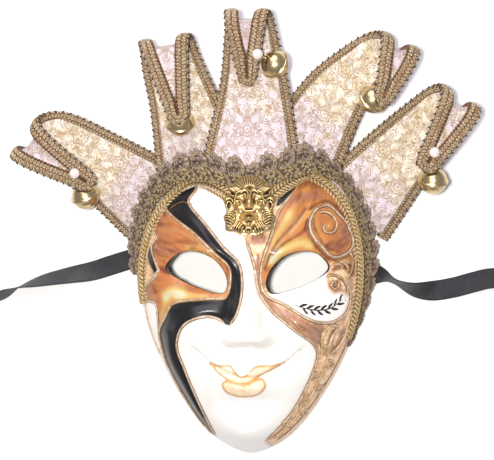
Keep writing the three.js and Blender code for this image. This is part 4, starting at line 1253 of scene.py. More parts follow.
def point_braid_trim() -> Trim:
    """The gimp braid of the points: two rows of loops, alike on both faces, and whipping round its outer edge."""
    trim = Trim(4.8)
    turn = np.linspace(0, 2 * math.pi, 8, endpoint=False)
    for face in (-1, 1):
        for start in (0, 2.4):
            for y, lean in ((2.0, 0.35), (-1.8, -0.35)):
                x = 0.6 + start + (1.2 if y < 0 else 0)
                loop = np.column_stack([x + 0.6 * np.cos(turn) + lean * np.sin(turn), y + 1.4 * np.sin(turn),
                                        face * (1.85 + 0.35 * np.cos(turn + y))])
                trim.threads.append(Thread(loop, 0.5, Tone.PALE, True))
                trim.add(((x + 1.2 - lean, y - 1.5, 1.2 * face), (x + 1.2, y, 1.85 * face),
                          (x + 1.2 + lean, y + 1.5, 1.2 * face)), 0.4, Tone.MIDDLE)
            edge = ((0, -3.5, 1.2), (0.8, -4.3, 0.5), (1.6, -4.3, 0.5), (2.4, -3.5, 1.2))
            trim.add(np.array(edge) * (1, 1, face) + (start, 0, 0), 0.5, Tone.MIDDLE)
        lip = ((1.8, 3.7, 1.3), (3.0, 4.3, 0.8), (4.2, 4.3, 0.8), (4.8, 3.8, 1.2))
        trim.add(np.array(lip) * (1, 1, face), 0.5, Tone.PALE)
    trim.add(((0.2, 3.2, 1.6), (0.8, 4.5, 1.2), (1.4, 5.1, 0), (1.0, 4.5, -1.2), (0.2, 3.2, -1.6)), 0.55, Tone.DARK)
    return trim


@dataclass
class PointBraid:
    """The braid up one edge of a crown point, round its tip and down the other edge."""

    seat: Seat
    form: FaceForm
    point: CrownPoint
    materials: Sequence[Material]
    half_width: float = 4.75
    step: float = 0.5

    def route(self, surface: PointSurface) -> tuple[Points, Points]:
        """The way of the braid over the point.

        Args:
            surface: the point's surface.

        Returns:
            Its middle line, as lengths and distances across, and its half-width.
        """
        tip = surface.total
        reach = 3.2  # from the last of each run to the bend round the tip

        def half(s: Points) -> Points:
            """Half the braid's width, less where the two runs share a narrow tip."""
            left, right = surface.edges(s)
            return np.minimum(self.half_width, (left - right) / 4)

        roots = np.array([self.point.left[0] - self.half_width, self.point.right[0] + self.half_width])
        # each run starts 5 mm inside the face
        up, down = (np.arange(max(float(start) - 5, -4), tip - reach, 1.0)
                    for start in surface.leaves_face(roots, self.form))
        down = down[::-1]
        left = np.column_stack([up, surface.edges(up)[0] - half(up)])
        right = np.column_stack([down, surface.edges(down)[1] + half(down)])
        middle = (left[-1] + right[0]) / 2
        radius = abs(left[-1, 1] - right[0, 1]) / 2
        turn = np.linspace(0, math.pi, 14)[1:-1]
        bend = np.column_stack([middle[0] + reach * np.sin(turn), middle[1] + radius * np.cos(turn)])
        line = even_steps(np.vstack([left, bend, right]), self.step)
        return line, half(np.minimum(line[:, 0], tip - 1))

    def build(self) -> None:
        """Bends a straight strip of braid along the route."""
        surface = PointSurface(self.point)
        line, half = self.route(surface)
        length = self.step * (len(line) - 1)
        mesh = joined(point_braid_trim().strip(length), self.core(length))
        points = coordinates(mesh)
        along = unit(np.gradient(line, axis=0))
        rows = np.column_stack([line, -along[:, 1], along[:, 0], half / self.half_width])
        rows = rows_at(points[:, 0] / self.step, np.arange(len(line)), rows)
        flat = rows[:, :2] + unit(rows[:, 2:4]) * (points[:, 1] * rows[:, 4])[:, None]
        set_coordinates(mesh, surface.place(*flat.T, points[:, 2]))
        number = self.point.number
        self.seat.fit(mesh, f"gimp_braid_{number}", self.materials, "point_braid", f"point_braid_{number}")

    def core(self, length: float) -> Mesh:
        """The cloth inside the braid: a flat bar with rounded edges."""
        line = np.linspace(0, 1, round(length / 2))[:, None] * (length, 0, 0)
        mesh = thread_mesh([Thread(line, 1.0, Tone.MIDDLE)], 10)
        set_coordinates(mesh, coordinates(mesh) * (1, 4.1, 1.35))
        return mesh


# Bells and pearls


@dataclass
class Bell:
    """A round jingle bell: two thin pressed halves, crimped in a rim, with a slot and a ring."""

    seat: Seat
    point: CrownPoint
    brass: Material
    thread: Material
    radius: float = 9.6
    rim: float = 10.5
    wall: float = 0.6

    def build(self) -> None:
        """Spins the shell, cuts its slot, adds its ring and hangs it in place."""
        middle = self.point.spot(*self.point.bell)
        ring_radius = 2.1
        turn = np.linspace(0, 2 * math.pi, 20, endpoint=False)
        ring = np.column_stack([ring_radius * np.cos(turn), 0 * turn, self.radius + 1.6 + ring_radius * np.sin(turn)])
        angle, lift = (math.radians(degrees) for degrees in self.point.axis)
        axis = np.array([math.cos(lift) * math.cos(angle), math.cos(lift) * math.sin(angle), math.sin(lift)])
        spin = np.array(Vector((0, 0, 1)).rotation_difference(Vector(axis)).to_matrix())
        mesh = joined(self.shell(), thread_mesh([Thread(ring, 0.55, closed=True)], 8))
        set_coordinates(mesh, coordinates(mesh) @ spin.T + middle)
        end = self.point.spot(*self.point.thread)
        start = middle + axis * (self.radius + 3)
        loop = smooth_line((start, (start + end) / 2 + (0.8, 0.5, 0), end), 1)
        mesh = joined(mesh, thread_mesh([Thread(loop, 0.5, 1)], 8))
        number = self.point.number
        self.seat.fit(mesh, f"jingle_bell_{number}", [self.brass, self.thread], "bell_brass", f"bell_{number}")

    def shell(self) -> Mesh:
        """The hollow ball with its crimped rim and its slot."""
        def arc(radius: float, start: float, end: float, steps: int) -> list[Pair]:
            """Points of the profile on a circle, by their angle above the middle."""
            angles = [math.radians(start + (end - start) * i / steps) for i in range(steps + 1)]
            return [(radius * math.cos(a), radius * math.sin(a)) for a in angles]

        profile = arc(self.radius, -90, -8, 14) + [(self.radius + 0.1, -1.0), (self.rim, -0.8), (self.rim + 0.1, 0),
                                                   (self.rim, 0.8), (self.radius + 0.1, 1.0)]
        profile += arc(self.radius, 8, 90, 14)
        cutter = self.slot_cutter()
        ball = with_modifiers(spun(profile, 36), SOLIDIFY={"thickness": self.wall, "offset": -1},
                              BOOLEAN={"object": cutter, "solver": "EXACT", "use_self": True})
        bpy.data.objects.remove(cutter)
        return ball

    def slot_cutter(self) -> bpy.types.Object:
        """A slot across the lower half that ends in two round holes."""
        bm = bmesh.new()
        bmesh.ops.create_cube(bm, size=1)
        bmesh.ops.scale(bm, vec=(11, 1.1, 8), verts=bm.verts)
        for side in (-1, 1):
            made = bmesh.ops.create_uvsphere(bm, u_segments=16, v_segments=8, radius=1.9)["verts"]
            bmesh.ops.translate(bm, vec=(5.6 * side, 0, 2.0), verts=made)
        bmesh.ops.translate(bm, vec=(0, 0, -self.radius), verts=bm.verts)
        return show(mesh_from(bm), "slot", [])


@dataclass
class Pearl:
    """A drilled bead sewn on a folded end."""

    seat: Seat
    point: CrownPoint
    nacre: Material
    radius: float = 3.6
    hole: float = 0.45
    clearance: float = 3.6

    def build(self) -> None:
        """Spins the bead round its hole and sets it on the fold."""
        out, across = self.point.pearl
        _, roll_z, tip_z = self.point.heights
        roll = self.point.roll_radius
        share = (-roll - out) / (self.point.tip - roll)
        z = roll_z + 2 * roll + (tip_z - roll_z - 2 * roll) * share + self.clearance + self.radius
        steep = math.acos(self.hole / self.radius)
        angles = np.linspace(steep, -steep, 19)
        mesh = spun([(self.radius * math.cos(a), self.radius * math.sin(a)) for a in angles], 32, closed=True)
        set_coordinates(mesh, coordinates(mesh) + self.point.spot(out, across, z))
        number = self.point.number
        self.seat.fit(mesh, f"pearl_bead_{number}", [self.nacre], "pearl", f"pearl_{number}")


# Trims of the face


def gold_braid_trim() -> Trim:
    """The gilt braid: two rows of slanting plaited strands on a brown ground, with a slim cord on each side."""
    trim = Trim(3.0)
    for y in (-3.6, -1.2, 1.2, 3.6):
        trim.add(((0, y, 0.1), (3.0, y, 0.1)), 1.3, Tone.MIDDLE)
    for side in (-1, 1):
        bm = bmesh.new()
        bmesh.ops.create_uvsphere(bm, u_segments=8, v_segments=5, radius=1)
        for vertex in bm.verts:
            x, y, z = vertex.co
            slant = math.radians(38) * side
            x, y = 0.8 * x, 2.9 * y
            vertex.co = (1.5 + x * math.cos(slant) + y * math.sin(slant),
                         2.2 * side - x * math.sin(slant) + y * math.cos(slant), 1.25 + 0.8 * z)
        trim.beads.append(mesh_from(bm))
        for turn in (0, 1):
            steps = np.linspace(0, 1, 7)
            angle = 2 * math.pi * (steps + turn / 2)
            trim.add(np.column_stack([3.0 * steps, 4.7 * side + 0.3 * np.cos(angle), 0.95 + 0.35 * np.sin(angle)]),
                     0.45, Tone.MIDDLE if turn else Tone.PALE)
    return trim


@dataclass
class GoldBraid:
    """The gilt braid glued along the edge of the face."""

    seat: Seat
    form: FaceForm
    materials: Sequence[Material]
    reach: float = 0.91
    line: Pairs = (
        (-77, -24), (-82.5, -4), (-81, 20), (-76, 37), (-66, 53), (-55, 60), (-43, 63.5), (-31, 63), (-20, 58),
        (-8, 50), (2, 47), (13, 51), (25, 60.5), (36, 67), (47, 69), (58, 65), (68, 57), (75.5, 44),
        (80.5, 28), (83.5, 8), (83.5, -12), (80.5, -30), (74, -50))

    def build(self) -> None:
        """Bends the strip along the edge of the face."""
        plan = smooth_line(self.line, 1)
        points, normals = self.form.on_surface(plan, self.reach)
        line = even_steps(points, 1)
        normals = rows_at(np.linspace(0, 1, len(line)), np.linspace(0, 1, len(points)), normals)
        normals = unit(normals + (0, 0, 1.2))
        across = unit(np.cross(normals, unit(np.gradient(line, axis=0))))
        mesh = gold_braid_trim().strip(float(len(line) - 1))
        x, y, z = coordinates(mesh).T[:, :, None]
        rows = rows_at(x[:, 0], np.arange(len(line)), np.hstack([line, across, normals]))
        set_coordinates(mesh, rows[:, :3] + rows[:, 3:6] * y + rows[:, 6:] * z)
        self.seat.fit(mesh, "gilt_face_braid", self.materials, "gold_braid", "gold_braid")


@dataclass
class Lace:
    """The scalloped metallic lace round the crown."""

    seat: Seat
    form: FaceForm
    materials: Sequence[Material]
    scallops: int = 27
    scallop: float = 18.0
    width: float = 18
    clearance: float = 1.2
    cloth: float = 0.5
    # the outer and inner edge from the left temple over the forehead to the right cheek
    outer: Pairs = (
        (-90, -4, 9), (-92, 12, 10), (-91, 28, 14), (-86, 48, 19), (-77, 63, 24), (-65, 76, 29), (-50, 85, 36),
        (-35, 87, 40), (-20, 83, 39), (-6, 82, 38), (1, 76, 36), (8, 84, 38), (22, 85, 40), (33, 91, 42),
        (47, 89, 41), (62, 79, 33), (75, 66, 26), (87, 46, 20), (92, 30, 15), (95, 9, 11), (93, -6, 9),
        (88, -24, 8), (82, -40, 7), (74, -57, 7))
    inner: Pairs = (
        (-83, -4, 10), (-82.5, 12, 10), (-80, 25, 15), (-75, 41, 17), (-69, 52, 20), (-60, 60, 26), (-50, 66, 34),
        (-35, 67.5, 37), (-24, 65, 38), (-11, 62, 37), (1, 61, 37), (14, 63, 37), (23, 67, 38), (31, 69, 37),
        (45, 72, 36), (57, 69, 29), (67.5, 60.5, 21), (76, 46, 17), (81, 32, 14), (84, 12, 10), (84.5, -10, 8),
        (82, -26, 8), (77.5, -40, 7), (71, -56, 7))

    def build(self) -> None:
        """Lays the threads and the ground cloth between the two edges."""
        length = self.scallop * self.scallops
        mesh = joined(self.repeat(self.scallop).strip(length), self.ground(self.scallop))
        points = coordinates(mesh)
        share = np.clip(points[:, 0] / length, 0, 1)
        edges = [even_steps(smooth_line(edge, 1), 1) for edge in (self.inner, self.outer)]
        low, high = (rows_at(share, np.linspace(0, 1, len(edge)), edge) for edge in edges)
        place = low + (high - low) * (points[:, 1:2] / self.width)
        face = np.where(self.form.outwardness(*place.T[:2]) < 1, self.form.height(*place.T[:2]), 0)
        place[:, 2] = np.maximum(place[:, 2] + self.clearance, face + self.clearance) + points[:, 2]
        set_coordinates(mesh, place)
        self.seat.fit(mesh, "metallic_lace", self.materials, "metallic_lace", "lace_trim")

    def repeat(self, length: float) -> Trim:
        """One scallop: small loops of three tones in uneven rows, and stout lobes round its edge.

        Args:
            length: how long it is.

        Returns:
            The scallop.
        """
        trim = Trim(length)
        dice = np.random.default_rng(4)

        def ring(x: float, y: float, radius: float, tone: Tone, thick: float) -> None:
            """Adds a small looped ring, pressed a little out of round and out of level.

            Args:
                x: how far along it lies.
                y: how far out it lies.
                radius: its size.
                tone: its tone.
                thick: its thread's radius.
            """
            turn = np.linspace(0, 2 * math.pi, 8 if radius > 1 else 6, endpoint=False)
            stretch, lean = dice.uniform(0.75, 1.3), dice.uniform(-0.4, 0.4, 2)
            line = np.column_stack([radius * stretch * np.cos(turn), radius / stretch * np.sin(turn)])
            height = 0.8 + line @ lean + 0.2 * np.cos(2 * turn)
            trim.threads.append(Thread(np.column_stack([line + (x, y), height]), thick, tone, True))

        for row in range(10):
            y = -1.6 + 1.5 * row
            count = 12 if y < 10.5 else 9
            for i in range(count):
                x = length * (i + 0.5 * (row % 2) + dice.uniform(-0.25, 0.25)) / count
                gilt = 0.5 if y < 7 else 0.25
                tone = Tone(int(dice.choice(3, p=(0.68 - gilt, gilt, 0.32))))
                ring(x, y + dice.uniform(-0.5, 0.5), dice.uniform(0.55, 0.95), tone, dice.uniform(0.34, 0.46))
        for degrees in range(8, 180, 41):
            x, y = (reach * turned(math.radians(degrees)) for reach, turned in ((6.2, math.cos), (4.6, math.sin)))
            ring(length / 2 + x, 11.4 + y, 1.75, Tone.PALE, 0.8)
            ring(length / 2 + x, 11.4 + y, 0.6, Tone.MIDDLE, 0.5)
        ring(0, 11.2, 1.5, Tone.DARK, 0.6)
        return trim

    def ground(self, length: float) -> Mesh:
        """The knitted ground under the loops, cut to the scallops.

        Args:
            length: how long a scallop is.

        Returns:
            Its mesh, for the whole lace.
        """
        bm = bmesh.new()
        bmesh.ops.create_grid(bm, x_segments=12 * self.scallops, y_segments=6, size=1)
        for vertex in bm.verts:
            along = (vertex.co.x + 1) / 2 * self.scallops
            reach = 11.5 + 4.6 * abs(math.sin(math.pi * along)) ** 0.6
            vertex.co = (along * length, -2 + (vertex.co.y + 1) / 2 * (reach + 2), 0.2)
        for face in bm.faces:
            face.material_index = Tone.DARK
        return with_modifiers(mesh_from(bm), SOLIDIFY={"thickness": self.cloth, "offset": -1})


# The medallion


@dataclass
class LionMedallion:
    """The stamped brass lion's head on the forehead."""

    seat: Seat
    form: FaceForm
    brass: Material
    at: Pair = (1.5, 45.5)
    width: float = 37
    length: float = 46
    lift: float = 3.7
    plate: float = 0.9
    quads: int = 150
    # one side of the outline from the top down, in half-widths and half-lengths
    outline: Pairs = (
        (0, 1), (0.3, 0.93), (0.54, 0.79), (0.56, 0.66), (0.86, 0.62), (0.77, 0.37), (0.99, 0.17), (0.86, -0.24),
        (0.97, -0.4), (0.9, -0.6), (0.86, -0.84), (0.56, -0.9), (0.28, -0.99), (0, -0.97))
    # rounded swellings and pits on both sides, in half-widths and half-lengths: middle, size and rise in mm
    swellings: Swells = (
        (0, -0.1, 0.55, 0.75, 3), (0.02, 0.08, 0.05, 0.2, 2), (0, -0.15, 0.075, 0.06, 2.6),
        (0.1, -0.18, 0.05, 0.035, 1), (0.42, -0.06, 0.075, 0.06, 3.6), (0.43, -0.06, 0.18, 0.14, 0.7),
        (0.33, -0.28, 0.1, 0.07, 1.2), (0, -0.54, 0.1, 0.045, 2.4), (0, -0.5, 0.05, 0.04, 1),
        (0, -0.69, 0.04, 0.06, 2.2), (0.7, -0.83, 0.12, 0.05, 2.4), (0, 0.65, 0.4, 0.22, 1.3),
        (0.67, 0.37, 0.13, 0.06, -2.6), (0, -0.23, 0.16, 0.025, -1.6), (0, -0.41, 0.22, 0.035, -2.8),
        (0.16, 0.08, 0.05, 0.14, -2.2), (0, 0.49, 0.08, 0.05, -2.6), (0, -0.61, 0.15, 0.02, -1.6),
        (0.27, -0.48, 0.07, 0.09, -1.8), (0.79, -0.06, 0.05, 0.08, -1.8), (0.17, -0.76, 0.05, 0.08, -1.6),
        (0.42, 0.1, 0.14, 0.03, -1.6), (0.58, -0.2, 0.1, 0.05, -1.2))
    # raised lines of hair, brow, ear and curl on both sides: points, width and rise
    ridges: Rows = (
        (((0.04, 0.1), (0.05, 0.26), (0.1, 0.36), (0.2, 0.38), (0.32, 0.32)), 0.035, 2.4),
        (((0.24, 0.24), (0.36, 0.2), (0.5, 0.17), (0.58, 0.08)), 0.04, 1.6),
        (((0.28, -0.02), (0.35, 0.06), (0.5, 0.06), (0.56, -0.03)), 0.03, 1.5),
        (((0.22, -0.27), (0.12, -0.31), (0, -0.32)), 0.035, 2.6),
        (((0.62, 0.06), (0.72, 0.15), (0.88, 0.12), (0.97, -0.03), (0.93, -0.18), (0.8, -0.26)), 0.035, 2.4),
        (((0.68, 0), (0.78, 0.06), (0.87, -0.03), (0.82, -0.15)), 0.03, 1.8),
        (((0.46, 0.24), (0.6, 0.42), (0.84, 0.54)), 0.035, 2.4),
        (((0.5, 0.2), (0.68, 0.26), (0.84, 0.5)), 0.035, 2.2),
        (((0.5, -0.3), (0.62, -0.25), (0.76, -0.23)), 0.035, 2.2),
        *((lock, 0.026, 2) for lock in (
            ((0.52, -0.42), (0.62, -0.33), (0.78, -0.3)), ((0.52, -0.5), (0.66, -0.39), (0.86, -0.35)),
            ((0.54, -0.57), (0.7, -0.46), (0.9, -0.42)), ((0.58, -0.63), (0.74, -0.53), (0.91, -0.49)))),
        (((0.64, -0.68), (0.78, -0.61), (0.89, -0.57)), 0.026, 1.8),
        *((lock, 0.026, 1.9) for lock in (
            ((0.38, -0.6), (0.5, -0.74), (0.62, -0.88)), ((0.31, -0.64), (0.43, -0.78), (0.52, -0.91)),
            ((0.25, -0.68), (0.35, -0.82), (0.42, -0.95)))),
        (((0.2, -0.76), (0.26, -0.87), (0.32, -0.98)), 0.026, 1.7),
        (((0, -0.82), (0.08, -0.84), (0.09, -0.9), (0, -0.94)), 0.028, 2),
        *((ray, 0.024, 1) for ray in (
            ((0, 0.57), (0, 0.97)), ((0.06, 0.56), (0.14, 0.95)), ((0.11, 0.55), (0.26, 0.9)),
            ((0.15, 0.53), (0.37, 0.83)), ((0.19, 0.5), (0.46, 0.75)), ((0.22, 0.46), (0.52, 0.64)))),
        (((0.06, 0.44), (0.2, 0.43), (0.38, 0.38), (0.48, 0.34)), 0.03, 1.6))

    def build(self) -> None:
        """Draws a grid out to the outline, models it and seats it on the forehead."""
        mesh = grid_mesh(self.quads, self.quads)
        a, b = coordinates(mesh).T[:2]
        size = np.maximum(np.abs(a), np.abs(b))
        turn = np.arctan2(a, b)
        edge = smooth_line(self.outline, 0.02)
        reach = np.interp(np.abs(turn), np.arctan2(edge[:, 0], edge[:, 1]), np.hypot(*edge.T))
        u, v = reach * size * np.sin(turn), reach * size * np.cos(turn)
        height = self.height(u, v, size)
        near = ((0.03, 0), (-0.03, 0), (0, 0.024), (0, -0.024))
        blur = sum(self.height(u + du, v + dv, size) for du, dv in near) / len(near)
        give_attribute(mesh, "hollow", np.clip((blur - height) / 0.5, -1, 1))
        set_coordinates(mesh, np.column_stack([u * self.width / 2, v * self.length / 2, height]))
        mesh = with_modifiers(mesh, SOLIDIFY={"thickness": self.plate, "offset": -1})
        at, normal = self.form.on_surface(np.array([self.at]))
        turned = Vector((0, 0, 1)).rotation_difference(Vector(normal[0])).to_matrix()
        set_coordinates(mesh, coordinates(mesh) @ np.array(turned).T + at[0] + normal[0] * self.lift)
        self.seat.fit(mesh, "brass_lion_head", [self.brass], "medallion_brass", "lion_medallion")

    def height(self, u: Points, v: Points, size: Points) -> Points:
        """The relief over the medallion's back.

        Args:
            u: half-widths to the right.
            v: half-lengths up.
            size: 0 in the middle and 1 on the outline.

        Returns:
            The heights.
        """
        side = np.abs(u)
        rise = 1.2 + swells_over(side, v, self.swellings) \
            + strokes_over(np.column_stack([side, v]), self.ridges, 0.04)
        return rise * (1 - 0.85 * smoothstep(0.86, 1, size)) + 0.6


# The ribbons


@dataclass
class Ribbon:
    """A black satin tie: flat on the floor, then turned on edge and wound into a loose ring."""

    seat: Seat
    name: str
    satin: Material
    route: Pairs
    coil: Pair
    first_angle: float
    turns: float
    # how far it is tilted, in degrees, at distances from the face
    tilts: Pairs
    width: float = 15
    thickness: float = 0.5
    step: float = 2
    radii: Pair = (40.6, 30.6)

    def centre_line(self) -> Points:
        """The ribbon's middle line in the plan."""
        whole = 2 * math.pi * self.turns
        angles = math.radians(self.first_angle) + np.linspace(0, whole, round(18 * abs(self.turns)))
        radii = np.linspace(*self.radii, len(angles))
        ring = np.column_stack([self.coil[0] + radii * np.cos(angles), self.coil[1] + radii * np.sin(angles)])
        return smooth_line([*self.route, *ring], self.step)

    def build(self) -> None:
        line = self.centre_line()
        along = unit(np.gradient(line, axis=0))
        length = self.step * (len(line) - 1)
        stations = np.linspace(0, length, len(line))
        held, turned = np.array([*self.tilts, (length, 90)], float).T
        tilt = np.radians(through_stations(held, turned, stations))
        z = 0.65 + (self.width / 2 - 0.2) * np.abs(np.sin(tilt))
        mesh = grid_mesh(len(line) - 1, 8)
        points = coordinates(mesh)
        s = (points[:, 0] + 1) / 2 * length
        share = points[:, 1]
        across = share * self.width / 2
        rows = np.column_stack([line, z, along, tilt])
        x, y, rise, along_x, along_y, lean = rows_at(s, stations, rows).T
        sag = (0.35 + 0.5 * np.sin(s / 13)) * share ** 2 * np.cos(lean)
        give_attribute(mesh, "cloth", np.column_stack([across, s, 0 * s]))
        set_coordinates(mesh, np.column_stack([
            x - across * np.cos(lean) * along_y, y + across * np.cos(lean) * along_x,
            rise + across * np.sin(lean) + np.maximum(sag, 0)]))
        mesh = with_modifiers(mesh, SOLIDIFY={"thickness": self.thickness, "offset": 0})
        piece = self.seat.fit(mesh, f"satin_{self.name}", [self.satin], "satin_ribbon", self.name,
                              self.name.replace("ribbon", "ribbon_coil"))
        path = self.seat.to_frame(np.column_stack([line, z]))
        LOG.info("%s: %.0f mm long", self.name, length)


TIES = {
    "ribbon_left": {
        "route": ((-85, 8.5), (-91, 7.5), (-106, 3), (-121, -1.6), (-138, -4.6), (-155, -7.8),
                  (-166, -10.4), (-174.5, -12.8), (-182, -15.8), (-190.5, -20.5), (-201, -26.5)),
        "coil": (-239.5, -3), "first_angle": -59, "turns": -1.65,
        "tilts": ((0, 0), (20, 0), (58, 40), (78, 60), (95, 88), (108, 112), (125, 95), (145, 90))},
    "ribbon_right": {
        "route": ((85, -2), (97, -4.5), (109, -9.5), (122, -14.5), (136, -15.5), (151, -13), (165, -9), (178, -6)),
        "coil": (227, 30), "first_angle": -112, "turns": 1.65,
        "tilts": ((0, 0), (8, 15), (18, 70), (27, 72), (42, 35), (58, 0), (128, 0), (162, 90))}}


# Finishes


@dataclass(frozen=True)
class FaceLacquer:
    """White lacquer with an orange, a rose and a black pattern, brushed on by hand."""

    white: Colour = rgb(244, 240, 235)
    cream: Colour = seen(255, 246, 226)
    copper: Colour = seen(238, 150, 84)
    amber: Colour = seen(244, 172, 82)
    rosewood: Colour = seen(202, 128, 88)
    plum: Colour = seen(140, 84, 60)
    brown_and_shade: Colour = seen(146, 78, 42)
    highlight_yellow: Colour = seen(255, 216, 128)
    glare: Colour = seen(255, 253, 216)
    apricot: Colour = rgb(246, 214, 172)
    blush: Colour = rgb(228, 184, 146)
    tan: Colour = rgb(206, 156, 106)
    dusk: Colour = seen(198, 136, 114)
    ochre: Colour = seen(238, 180, 126)
    shell: Colour = rgb(250, 232, 206)
    soot: Colour = (0.01, 0.01, 0.011)

    def material(self) -> Material:
        """The layers of paint, from the ground up, with painted highlights and painted shade among them."""
        s = Shader("face_lacquer")
        brushing = s.attribute("brushing", "Vector")
        streaks = s.noise(1, 4, at=brushing)
        brush = s.noise(38, 4)
        dabs = s.noise(150, 4, 0.65)
        grain = s.noise(420)
        rough_edge = (s.noise(330, 2) - 0.5) * 0.7

        def field(name: str, soft: float = 0.3) -> Value:
            """How much a painted field covers."""
            return (s.attribute(name) + rough_edge).step(-soft, soft)

        def stroke(name: str, fray: float) -> Value:
            """How much the soft strokes of a tone cover, with frayed edges."""
            return (s.attribute(name) + (streaks * 0.75 + dabs * 0.25 - 0.5) * fray).step(0.05, 0.95)

        ground = s.mix(brush.step(0.5, 0.85) * 0.5, self.white, self.cream)
        left = s.mix(streaks.step(0.4, 0.65) * 0.8, self.copper, self.rosewood)
        left = s.mix(brush.step(0.5, 0.7) * 0.6, left, self.amber)
        right = s.mix(streaks.step(0.32, 0.55), self.amber, self.copper)
        right = s.mix(dabs.step(0.42, 0.7) * 0.6, right, self.rosewood)
        cheek = s.mix(dabs.step(0.42, 0.6), s.mix(grain.step(0.4, 0.65), self.apricot, self.blush),
                      s.mix(grain.step(0.35, 0.6), self.blush, self.tan))
        tone = s.mix(field("right"), ground, cheek)
        tone = s.mix(field("orange", 0.8), tone, right)
        tone = s.mix(field("left"), tone, left)
        tinted = field("left").higher(field("right"))
        # painted highlights: yellow along the raised folds, near white where they are strongest
        glow = s.attribute("glow") + (streaks * 0.6 + dabs * 0.4 - 0.5) * 0.9
        tone = s.mix(glow.step(0.05, 1.0) * tinted, tone, self.highlight_yellow)
        tone = s.mix(glow.step(0.8, 1.35) * tinted * 0.8, tone, self.glare)
        tone = s.mix(stroke("rose", 1.0) * tinted * 0.8, tone, s.mix(streaks.step(0.42, 0.6), self.dusk, self.plum))
        # brown strokes and painted shade in the folds, round the volute and under the braid
        tone = s.mix(stroke("umber", 1.1) * tinted, tone, self.brown_and_shade)
        tone = s.mix(field("patch"), tone, s.mix(dabs.step(0.5, 0.8) * 0.5, self.white, self.cream))
        borders = [abs(s.attribute(name)) for name in ("left", "orange", "right", "volute", "patch")]
        nearest = functools.reduce(Value.lower, borders)
        tone = s.mix((nearest + rough_edge * 2).step(2.2, 1.2) * 0.45, tone, self.ochre)
        lips = s.mix(dabs.step(0.42, 0.6), self.apricot, self.shell)
        lips = s.mix(s.attribute("lips").step(0.2, 2.4), self.amber, lips)
        tone = s.mix(field("lips", 0.7), tone, lips)
        black = field("black", 0.4).higher((s.attribute("eye_line") + rough_edge).step(-0.2, 0.25))
        tone = s.mix(black, tone, self.soot)
        tone = s.mix(grain.step(0.56, 0.8) * 0.25 * (1 - black) * (0.25 + 0.75 * tinted), tone, self.ochre)
        s.set(Base_Color=tone, Roughness=0.36 + 0.16 * grain - 0.1 * black, Coat_Weight=0.35 - 0.2 * black,
              Coat_Roughness=0.16, Specular_IOR_Level=0.35)
        return s.bump(brush * 0.3 + streaks * 0.2 + dabs * 0.3 + grain * 0.2, 0.0007, 0.5).material


@dataclass(frozen=True)
class Brushed:
    """A brushed or raw coat of two clouded tones.

    The scale of its clouds is in repeats over a metre.
    """

    name: str
    tone: Colour
    shade: Colour
    roughness: float
    coat: float
    scale: float
    height: float

    def material(self) -> Material:
        """Clouds of the two tones, and a bump to go with them."""
        s = Shader(self.name)
        clouds = s.noise(self.scale, 5, 0.62)
        fine = s.noise(self.scale * 7)
        s.set(Base_Color=s.mix((clouds * 0.6 + fine * 0.4).step(0.42, 0.6), self.tone, self.shade),
              Roughness=self.roughness + 0.2 * (fine - 0.5), Coat_Weight=self.coat, Coat_Roughness=0.15)
        return s.bump(clouds * 0.6 + fine * 0.4, self.height, 0.6).material


RAW_PAPER = Brushed("raw_paper", rgb(206, 196, 178), rgb(170, 158, 140), 0.85, 0.0, 120, 0.0012)
EDGE_PAINT = Brushed("edge_paint", rgb(46, 32, 24), rgb(20, 16, 14), 0.4, 0.3, 300, 0.0003)
GESSO = Brushed("gesso_cordon", seen(252, 232, 206), seen(204, 158, 110), 0.42, 0.4, 330, 0.0005)
GLAZE = Brushed("gold_glaze", seen(190, 140, 84), seen(128, 84, 48), 0.45, 0.3, 260, 0.0004)
UMBER = Brushed("umber_line", seen(96, 60, 42), seen(56, 36, 28), 0.45, 0.3, 300, 0.0003)
HONEY = Brushed("honey_cordon", seen(255, 224, 178), seen(210, 156, 102), 0.42, 0.4, 330, 0.0004)


